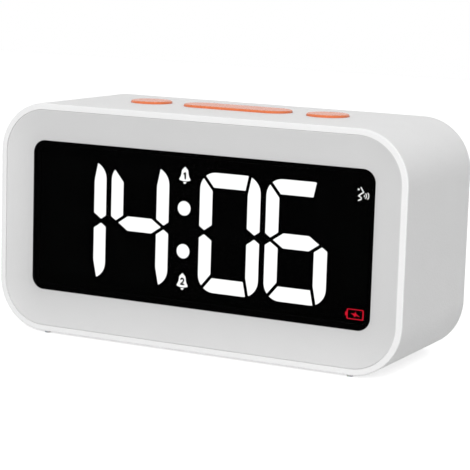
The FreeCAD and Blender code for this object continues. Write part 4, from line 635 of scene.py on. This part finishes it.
def wire_insulation():
    """Extruded red PVC: glossy, with a slight waver of 1.2 mm from the die and dull rubbed places."""
    material, tree, shader, place = start_material("extruded_red_pvc", IOR=1.53)
    waver = add(tree, "ShaderNodeTexNoise", pattern(place, 1.2, Detail=4.0)).outputs[0]
    vary(tree, shader, waver, "Base Color", linear("9E1A16"), linear("C22A22"))
    vary(tree, shader, waver, "Roughness", 0.25, 0.42)
    relief(tree, shader, waver, depth=0.02)
    return material


def coat(material, *names):
    """Gives CAD nodes a material, in the slots that they already have."""
    for name in names:
        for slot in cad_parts[name].material_slots:
            slot.material = material


# ---------------------------------------------------------------- pieces


def islands(mesh):
    """The separate solids of a bmesh, each as its list of faces."""
    left = set(mesh.faces)
    found = []
    while left:
        todo = [left.pop()]
        solid = []
        while todo:
            face = todo.pop()
            solid.append(face)
            near = {other for edge in face.edges for other in edge.link_faces} & left
            left -= near
            todo.extend(near)
        found.append(solid)
    return found


def segment_letter(spot, low, high):
    """Which of a digit's seven segments has its middle at that spot, a to g, in the usual order."""
    across = (spot.x - low.x) / (high.x - low.x)
    up = (spot.z - low.z) / (high.z - low.z)
    if INNER_FROM < across < INNER_TO:
        if up < INNER_FROM:
            return "d"
        return "g" if up < INNER_TO else "a"
    if across < 0.5:
        return "f" if up > 0.5 else "e"
    return "b" if up > 0.5 else "c"


def light_digit(node, value, lit, unlit):
    """Stands a digit in its node's place, with the segments of that value lit."""
    low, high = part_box(node)
    mesh = bmesh.new()
    mesh.from_mesh(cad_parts[node].data)
    bmesh.ops.remove_doubles(mesh, verts=mesh.verts, dist=WELD * MM)
    for solid in islands(mesh):
        spots = [face.calc_center_median() for face in solid]
        middle = Vector([(min(s[i] for s in spots) + max(s[i] for s in spots)) / 2 for i in range(3)])
        for face in solid:
            face.material_index = int(segment_letter(middle, low, high) not in LIT_SEGMENTS[value])
            face.smooth = False
    data = bpy.data.meshes.new(node.replace("digit", "segments"))
    mesh.to_mesh(data)
    mesh.free()
    data.materials.append(lit)
    data.materials.append(unlit)
    digit = bpy.data.objects.new(data.name, data)
    bpy.context.scene.collection.objects.link(digit)
    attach(digit, "clock")
    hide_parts(node)


def turns(start, stop, steps):
    """Angles in radians from start to stop, which are in degrees."""
    return [math.radians(start + (stop - start) * k / steps) for k in range(steps + 1)]


def bar(width, height, radius=0.25):
    """The outline of a bar with round corners."""
    outline = []
    for k, (i, j) in enumerate(((1, 1), (-1, 1), (-1, -1), (1, -1))):
        for angle in turns(90 * k, 90 * k + 90, 4):
            x = i * (width / 2 - radius) + radius * math.cos(angle)
            z = j * (height / 2 - radius) + radius * math.sin(angle)
            outline.append((x, z))
    return outline


def cross(length, width, angle=0.0):
    """The outline of a plus sign, turned by an angle in degrees."""
    near, far = width / 2, length / 2
    corners = [(far, -near), (far, near), (near, near)]
    outline = []
    for quarter in turns(angle, angle + 270, 3):
        cosine, sine = math.cos(quarter), math.sin(quarter)
        outline.extend((x * cosine - z * sine, x * sine + z * cosine) for x, z in corners)
    return outline


def wave(radius, width):
    """The outline of a sound wave: an arc round the origin that opens to the left."""
    angles = turns(-45, 45, 10)
    outer, inner = radius + width / 2, radius - width / 2
    there = [(outer * math.cos(angle), outer * math.sin(angle)) for angle in angles]
    back = [(inner * math.cos(angle), inner * math.sin(angle)) for angle in angles[::-1]]
    return there + back


def moved(outline, x):
    """The outline, moved to the right."""
    return [(x + i, z) for i, z in outline]


def under_back_face(node, depth):
    """A spot that deep under the middle of a node's rearmost face."""
    low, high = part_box(node)
    return Vector(((low.x + high.x) / 2, high.y - depth * MM, (low.z + high.z) / 2))


def over_opening(node, rise, aside=0.0):
    """A spot on the rear cover, over a piece that shows in it and aside from its middle."""
    low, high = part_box(node)
    cover_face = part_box("rear_cover")[1].y
    return Vector(((low.x + high.x) / 2 + aside * MM, cover_face, high.z + rise * MM))


def print_ink(name, outlines, spot, body, ink):
    """A film of ink on a face that looks to the back: outlines, as seen from behind, round a spot."""
    mesh = bmesh.new()
    for outline in outlines:
        inner = [mesh.verts.new((spot.x - x * MM, spot.y, spot.z + z * MM)) for x, z in outline]
        outer = [mesh.verts.new((vert.co.x, spot.y + INK_FILM * MM, vert.co.z)) for vert in inner]
        mesh.faces.new(inner)
        mesh.faces.new(outer[::-1])
        for k, vert in enumerate(inner):
            mesh.faces.new((inner[k - 1], vert, outer[k], outer[k - 1]))
    bmesh.ops.recalc_face_normals(mesh, faces=mesh.faces)
    data = bpy.data.meshes.new(name)
    mesh.to_mesh(data)
    mesh.free()
    data.materials.append(ink)
    film = bpy.data.objects.new(name, data)
    bpy.context.scene.collection.objects.link(film)
    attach(film, body)


class CLOCK_OT_sleeve(bpy.types.Operator):
    """Finish the sleeve and its feet"""

    bl_idname = "clock.sleeve"
    bl_label = "Sleeve and feet"

    def execute(self, context):
        finish = context.scene.clock_finish
        coat(eroded_white_abs("eroded_white_abs_sleeve", finish.shell), "housing")
        coat(milky_silicone(finish.feet), "feet")
        return {"FINISHED"}


class CLOCK_OT_front(bpy.types.Operator):
    """Finish the dished bezel, the smoked lens, its tape and the display block behind it"""

    bl_idname = "clock.front"
    bl_label = "Bezel and lens"

    def execute(self, context):
        coat(inked_window_painted_shade_abs(context.scene.clock_finish.bezel), "front_bezel")
        coat(smoked_acrylic(context.scene.clock_display.lens_tint), "display_lens")
        coat(foam_tape(), "lens_gasket")
        coat(light_trap_abs(), "display_block")
        return {"FINISHED"}


class CLOCK_OT_display(bpy.types.Operator):
    """Set the four digits to the time shown, and light the colon and the symbols"""

    bl_idname = "clock.display"
    bl_label = "Digits and symbols"

    def execute(self, context):
        display = context.scene.clock_display
        white = lit_resin("lit_white_resin", linear("FFFFFF"), display.glow)
        bright = lit_resin("lit_white_voice_resin", linear("FFFFFF"), display.voice_glow)
        red = lit_resin("lit_red_resin", linear("E01830"), display.red_glow)
        dark = unlit_resin()
        shown = f"{display.hour:02d}{display.minute:02d}"
        for node, value in zip(DIGITS, shown):
            light_digit(node, int(value), white, dark)
        coat(white, "colon_dots")
        coat(white if display.alarm_1 else dark, "alarm_1_symbol")
        coat(white if display.alarm_2 else dark, "alarm_2_symbol")
        coat(bright if display.voice else dark, "voice_symbol")
        coat(red if display.charging else dark, "battery_symbol")
        return {"FINISHED"}


class CLOCK_OT_top_buttons(bpy.types.Operator):
    """Finish the two round buttons and the snooze bar"""

    bl_idname = "clock.top_buttons"
    bl_label = "Top buttons"

    def execute(self, context):
        orange = polished_orange_abs(context.scene.clock_finish.buttons)
        coat(orange, "left_button", "snooze_bar", "right_button")
        return {"FINISHED"}


class CLOCK_OT_rear_cover(bpy.types.Operator):
    """Finish the rear cover"""

    bl_idname = "clock.rear_cover"
    bl_label = "Rear cover"

    def execute(self, context):
        coat(eroded_white_abs("eroded_white_abs_cover", context.scene.clock_finish.shell), "rear_cover")
        return {"FINISHED"}


class CLOCK_OT_screws(bpy.types.Operator):
    """Finish the screws of the cover, the three boards and the speaker"""

    bl_idname = "clock.screws"
    bl_label = "Screws"

    def execute(self, context):
        screws = ("cover_screws", "display_screws", "key_board_screws", "main_board_screws", "speaker_screws")
        coat(cold_headed_zinc(), *screws)
        return {"FINISHED"}


class CLOCK_OT_rear_keys(bpy.types.Operator):
    """Finish the three rear keys"""

    bl_idname = "clock.rear_keys"
    bl_label = "Rear keys"

    def execute(self, context):
        grey = satin_white_abs("satin_white_abs_keys", context.scene.clock_finish.bezel)
        coat(grey, "set_key", "minus_key", "plus_key")
        return {"FINISHED"}


class CLOCK_OT_marks(bpy.types.Operator):
    """Print the marks of the rear keys, and the symbols over the voice switch and the charging socket"""

    bl_idname = "clock.marks"
    bl_label = "Printed marks"

    def execute(self, context):
        ink = pad_printed_ink(context.scene.clock_finish.ink)
        marks = {
            "set_key": bar(MARK_SQUARE, MARK_SQUARE),
            "minus_key": bar(MARK_LENGTH, MARK_WIDTH),
            "plus_key": cross(MARK_LENGTH, MARK_WIDTH),
        }
        for key, mark in marks.items():
            spot = under_back_face(key, MARK_DEPTH)
            print_ink(key + "_ink", [mark], spot, key + "_body", ink)
        sound_on = [SPEAKER_HORN, *[wave(radius, SYMBOL_STROKE) for radius in SOUND_WAVES]]
        sound_off = [SPEAKER_HORN, moved(cross(MUTE_CROSS, SYMBOL_STROKE, 45.0), MUTE_GAP)]
        outlines = [moved(outline, SOUND_ON_SHIFT) for outline in sound_on]
        outlines += [moved(outline, SOUND_OFF_SHIFT) for outline in sound_off]
        spot = over_opening("voice_switch", SWITCH_SYMBOL_RISE, SWITCH_MIDDLE)
        print_ink("switch_ink", outlines, spot, "clock", ink)
        spot = over_opening("usb_socket", SOCKET_SYMBOL_RISE)
        print_ink("socket_ink", [BOLT], spot, "clock", ink)
        return {"FINISHED"}


class CLOCK_OT_switches(bpy.types.Operator):
    """Finish the push switches, their plungers and the knob of the voice switch"""

    bl_idname = "clock.switches"
    bl_label = "Switches"

    def execute(self, context):
        coat(moulded_black_nylon(), "voice_switch", "top_switches", "rear_switches", *PLUNGERS)
        return {"FINISHED"}


class CLOCK_OT_boards(bpy.types.Operator):
    """Finish the three circuit boards and what is soldered to them"""

    bl_idname = "clock.boards"
    bl_label = "Circuit boards"

    def execute(self, context):
        coat(printed_board(context.scene.clock_finish.board), "display_board", "key_board", "main_board")
        coat(led_package(), "led_chips")
        coat(moulded_epoxy(), "controller_chip", "audio_chip")
        coat(nickel_plate(), "slide_switch_case", "usb_socket", "quartz_crystal")
        coat(drawn_aluminium(), "capacitors")
        coat(cream_nylon(), "connectors")
        return {"FINISHED"}


class CLOCK_OT_speaker(bpy.types.Operator):
    """Finish the speaker and its foam ring"""

    bl_idname = "clock.speaker"
    bl_label = "Speaker"

    def execute(self, context):
        coat(lacquered_steel(), "speaker_basket")
        coat(pressed_paper(), "speaker_cone")
        coat(ground_ferrite(), "speaker_magnet")
        coat(closed_cell_foam(), "speaker_foam")
        return {"FINISHED"}


class CLOCK_OT_cell(bpy.types.Operator):
    """Finish the lithium cell"""

    bl_idname = "clock.cell"
    bl_label = "Lithium cell"

    def execute(self, context):
        coat(shrink_wrap(context.scene.clock_finish.cell), "lithium_cell")
        return {"FINISHED"}


class CLOCK_OT_holders(bpy.types.Operator):
    """Finish the black mouldings that hold the speaker and the cell"""

    bl_idname = "clock.holders"
    bl_label = "Clamp, cradle and strap"

    def execute(self, context):
        coat(matt_black_abs(), "speaker_clamp", "cell_cradle", "cell_strap")
        return {"FINISHED"}


class CLOCK_OT_cables(bpy.types.Operator):
    """Finish the two flat cables and the two pairs of wires"""

    bl_idname = "clock.cables"
    bl_label = "Cables"

    def execute(self, context):
        coat(ribbon_pvc(), "display_ribbon", "key_ribbon")
        coat(wire_insulation(), "speaker_leads", "cell_leads")
        return {"FINISHED"}


def rays_that_see(tree):
    """1 for a ray from the camera or sent on by gloss or clear plastic, 0 for one that lights a surface."""
    path = add(tree, "ShaderNodeLightPath").outputs
    direct = {0: path["Is Camera Ray"], 1: path["Is Glossy Ray"]}
    mirrored = add(tree, "ShaderNodeMath", direct, operation="MAXIMUM").outputs[0]
    clear = {0: mirrored, 1: path["Is Transmission Ray"]}
    return add(tree, "ShaderNodeMath", clear, operation="MAXIMUM").outputs[0]


def white_world(ambient):
    """A white background over a plain, even light."""
    world = bpy.data.worlds.new("white_background")
    world.use_nodes = True
    tree = world.node_tree
    tree.nodes.clear()
    levels = {"Value": rays_that_see(tree), "To Min": ambient, "To Max": 1.0}
    strength = add(tree, "ShaderNodeMapRange", levels).outputs[0]
    sky = add(tree, "ShaderNodeBackground", {"Color": linear("FFFFFF"), "Strength": strength})
    add(tree, "ShaderNodeOutputWorld", {"Surface": sky.outputs[0]})
    bpy.context.scene.world = world


def matt_white_board():
    """Matt white board: plain white with the clock's own shadow on it, and clear from below."""
    material, tree, shader, place = start_material(
        "matt_white_board", IOR=1.45, Emission_Color=linear("FFFFFF")
    )
    tooth = add(tree, "ShaderNodeTexNoise", pattern(place, 2.0)).outputs[0]
    vary(tree, shader, tooth, "Base Color", linear("CCCCCC"), linear("D0D0D0"))
    vary(tree, shader, tooth, "Roughness", 0.9, 1.0)
    vary(tree, shader, rays_that_see(tree), "Emission Strength", 0.0, FLOOR_GLOW)
    from_below = {
        0: add(tree, "ShaderNodeNewGeometry").outputs["Backfacing"],
        1: shader.outputs[0],
        2: add(tree, "ShaderNodeBsdfTransparent").outputs[0],
    }
    one_sided = add(tree, "ShaderNodeMixShader", from_below).outputs[0]
    tree.links.new(one_sided, tree.nodes["Material Output"].inputs["Surface"])
    return material


def white_floor(side):
    """The square of white board that the clock stands on."""
    half = side / 2
    corners = [(-half, -half, 0), (half, -half, 0), (half, half, 0), (-half, half, 0)]
    data = bpy.data.meshes.new("white_floor")
    data.from_pydata(corners, [], [(0, 1, 2, 3)])
    data.materials.append(matt_white_board())
    floor = bpy.data.objects.new("white_floor", data)
    bpy.context.scene.collection.objects.link(floor)


def middle_of_clock():
    """The middle of the sleeve."""
    low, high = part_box("housing")
    return (low + high) / 2


def direction(turn, rise):
    """From the clock's middle outwards: turned from the front to the right, and raised above level."""
    return Vector((math.sin(turn) * math.cos(rise), -math.cos(turn) * math.cos(rise), math.sin(rise)))


def soft_box(name, turn, rise, distance, side, power):
    """A square soft box that points at the clock's middle, and that no picture or reflection shows."""
    back = direction(math.radians(turn), math.radians(rise))
    data = bpy.data.lights.new(name, "AREA")
    data.shape = "SQUARE"
    data.size = side
    data.energy = power
    lamp = bpy.data.objects.new(name, data)
    lamp.location = middle_of_clock() + distance * back
    lamp.rotation_euler = back.to_track_quat("Z", "Y").to_euler()
    lamp.visible_camera = False
    lamp.visible_glossy = False
    bpy.context.scene.collection.objects.link(lamp)


def aim_camera(stage):
    """The camera, turned round the clock's middle, raised, rolled and then slid in its own plane."""
    back = direction(stage.turn, stage.rise)
    level = Vector((math.cos(stage.turn), math.sin(stage.turn), 0.0))
    upright = back.cross(level)
    right = math.cos(stage.roll) * level + math.sin(stage.roll) * upright
    top = math.cos(stage.roll) * upright - math.sin(stage.roll) * level
    data = bpy.data.cameras.new("camera")
    data.lens = stage.lens
    camera = bpy.data.objects.new("camera", data)
    place = middle_of_clock() + stage.distance * back + stage.slide * right + stage.lift * top
    camera.matrix_world = Matrix.Translation(place) @ Matrix((right, top, back)).transposed().to_4x4()
    bpy.context.scene.collection.objects.link(camera)
    bpy.context.scene.camera = camera


class CLOCK_OT_stage(bpy.types.Operator):
    """Set up the white floor, the soft boxes and the camera"""

    bl_idname = "clock.stage"
    bl_label = "Stage"

    def execute(self, context):
        stage = context.scene.clock_stage
        white_world(stage.ambient)
        white_floor(stage.floor_side)
        for name, turn, rise, setting in SOFT_BOXES:
            soft_box(name, turn, rise, stage.box_distance, stage.box_side, getattr(stage, setting))
        aim_camera(stage)
        context.scene.view_settings.view_transform = "Standard"
        return {"FINISHED"}


OPERATORS = (
    CLOCK_OT_sleeve,
    CLOCK_OT_front,
    CLOCK_OT_display,
    CLOCK_OT_top_buttons,
    CLOCK_OT_rear_cover,
    CLOCK_OT_screws,
    CLOCK_OT_rear_keys,
    CLOCK_OT_marks,
    CLOCK_OT_switches,
    CLOCK_OT_boards,
    CLOCK_OT_speaker,
    CLOCK_OT_cell,
    CLOCK_OT_holders,
    CLOCK_OT_cables,
    CLOCK_OT_stage,
)
GROUPS = {"clock_finish": ClockFinish, "clock_display": ClockDisplay, "clock_stage": ClockStage}


class CLOCK_PT_panel(bpy.types.Panel):
    """Settings and steps of the desk clock"""

    bl_idname = "CLOCK_PT_panel"
    bl_label = "Desk Clock"
    bl_space_type = "VIEW_3D"
    bl_region_type = "UI"
    bl_category = "Desk Clock"

    def draw(self, context):
        for name, group in GROUPS.items():
            box = self.layout.box()
            for setting in group.__annotations__:
                box.prop(getattr(context.scene, name), setting)
        for operator in OPERATORS:
            self.layout.operator(operator.bl_idname)


CLASSES = (*GROUPS.values(), *OPERATORS, CLOCK_PT_panel)


def register():
    """Makes the settings, the steps and the panel known to Blender."""
    for kind in CLASSES:
        bpy.utils.register_class(kind)
    for name, group in GROUPS.items():
        setattr(bpy.types.Scene, name, PointerProperty(type=group))


def unregister():
    """Takes them out again, in the opposite order."""
    for name in reversed(GROUPS):
        delattr(bpy.types.Scene, name)
    for kind in reversed(CLASSES):
        bpy.utils.unregister_class(kind)


def main():
    """Registers the add-on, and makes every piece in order."""
    register()
    for operator in OPERATORS:
        group, name = operator.bl_idname.split(".")
        getattr(getattr(bpy.ops, group), name)()


if __name__ == "__main__":
    main()
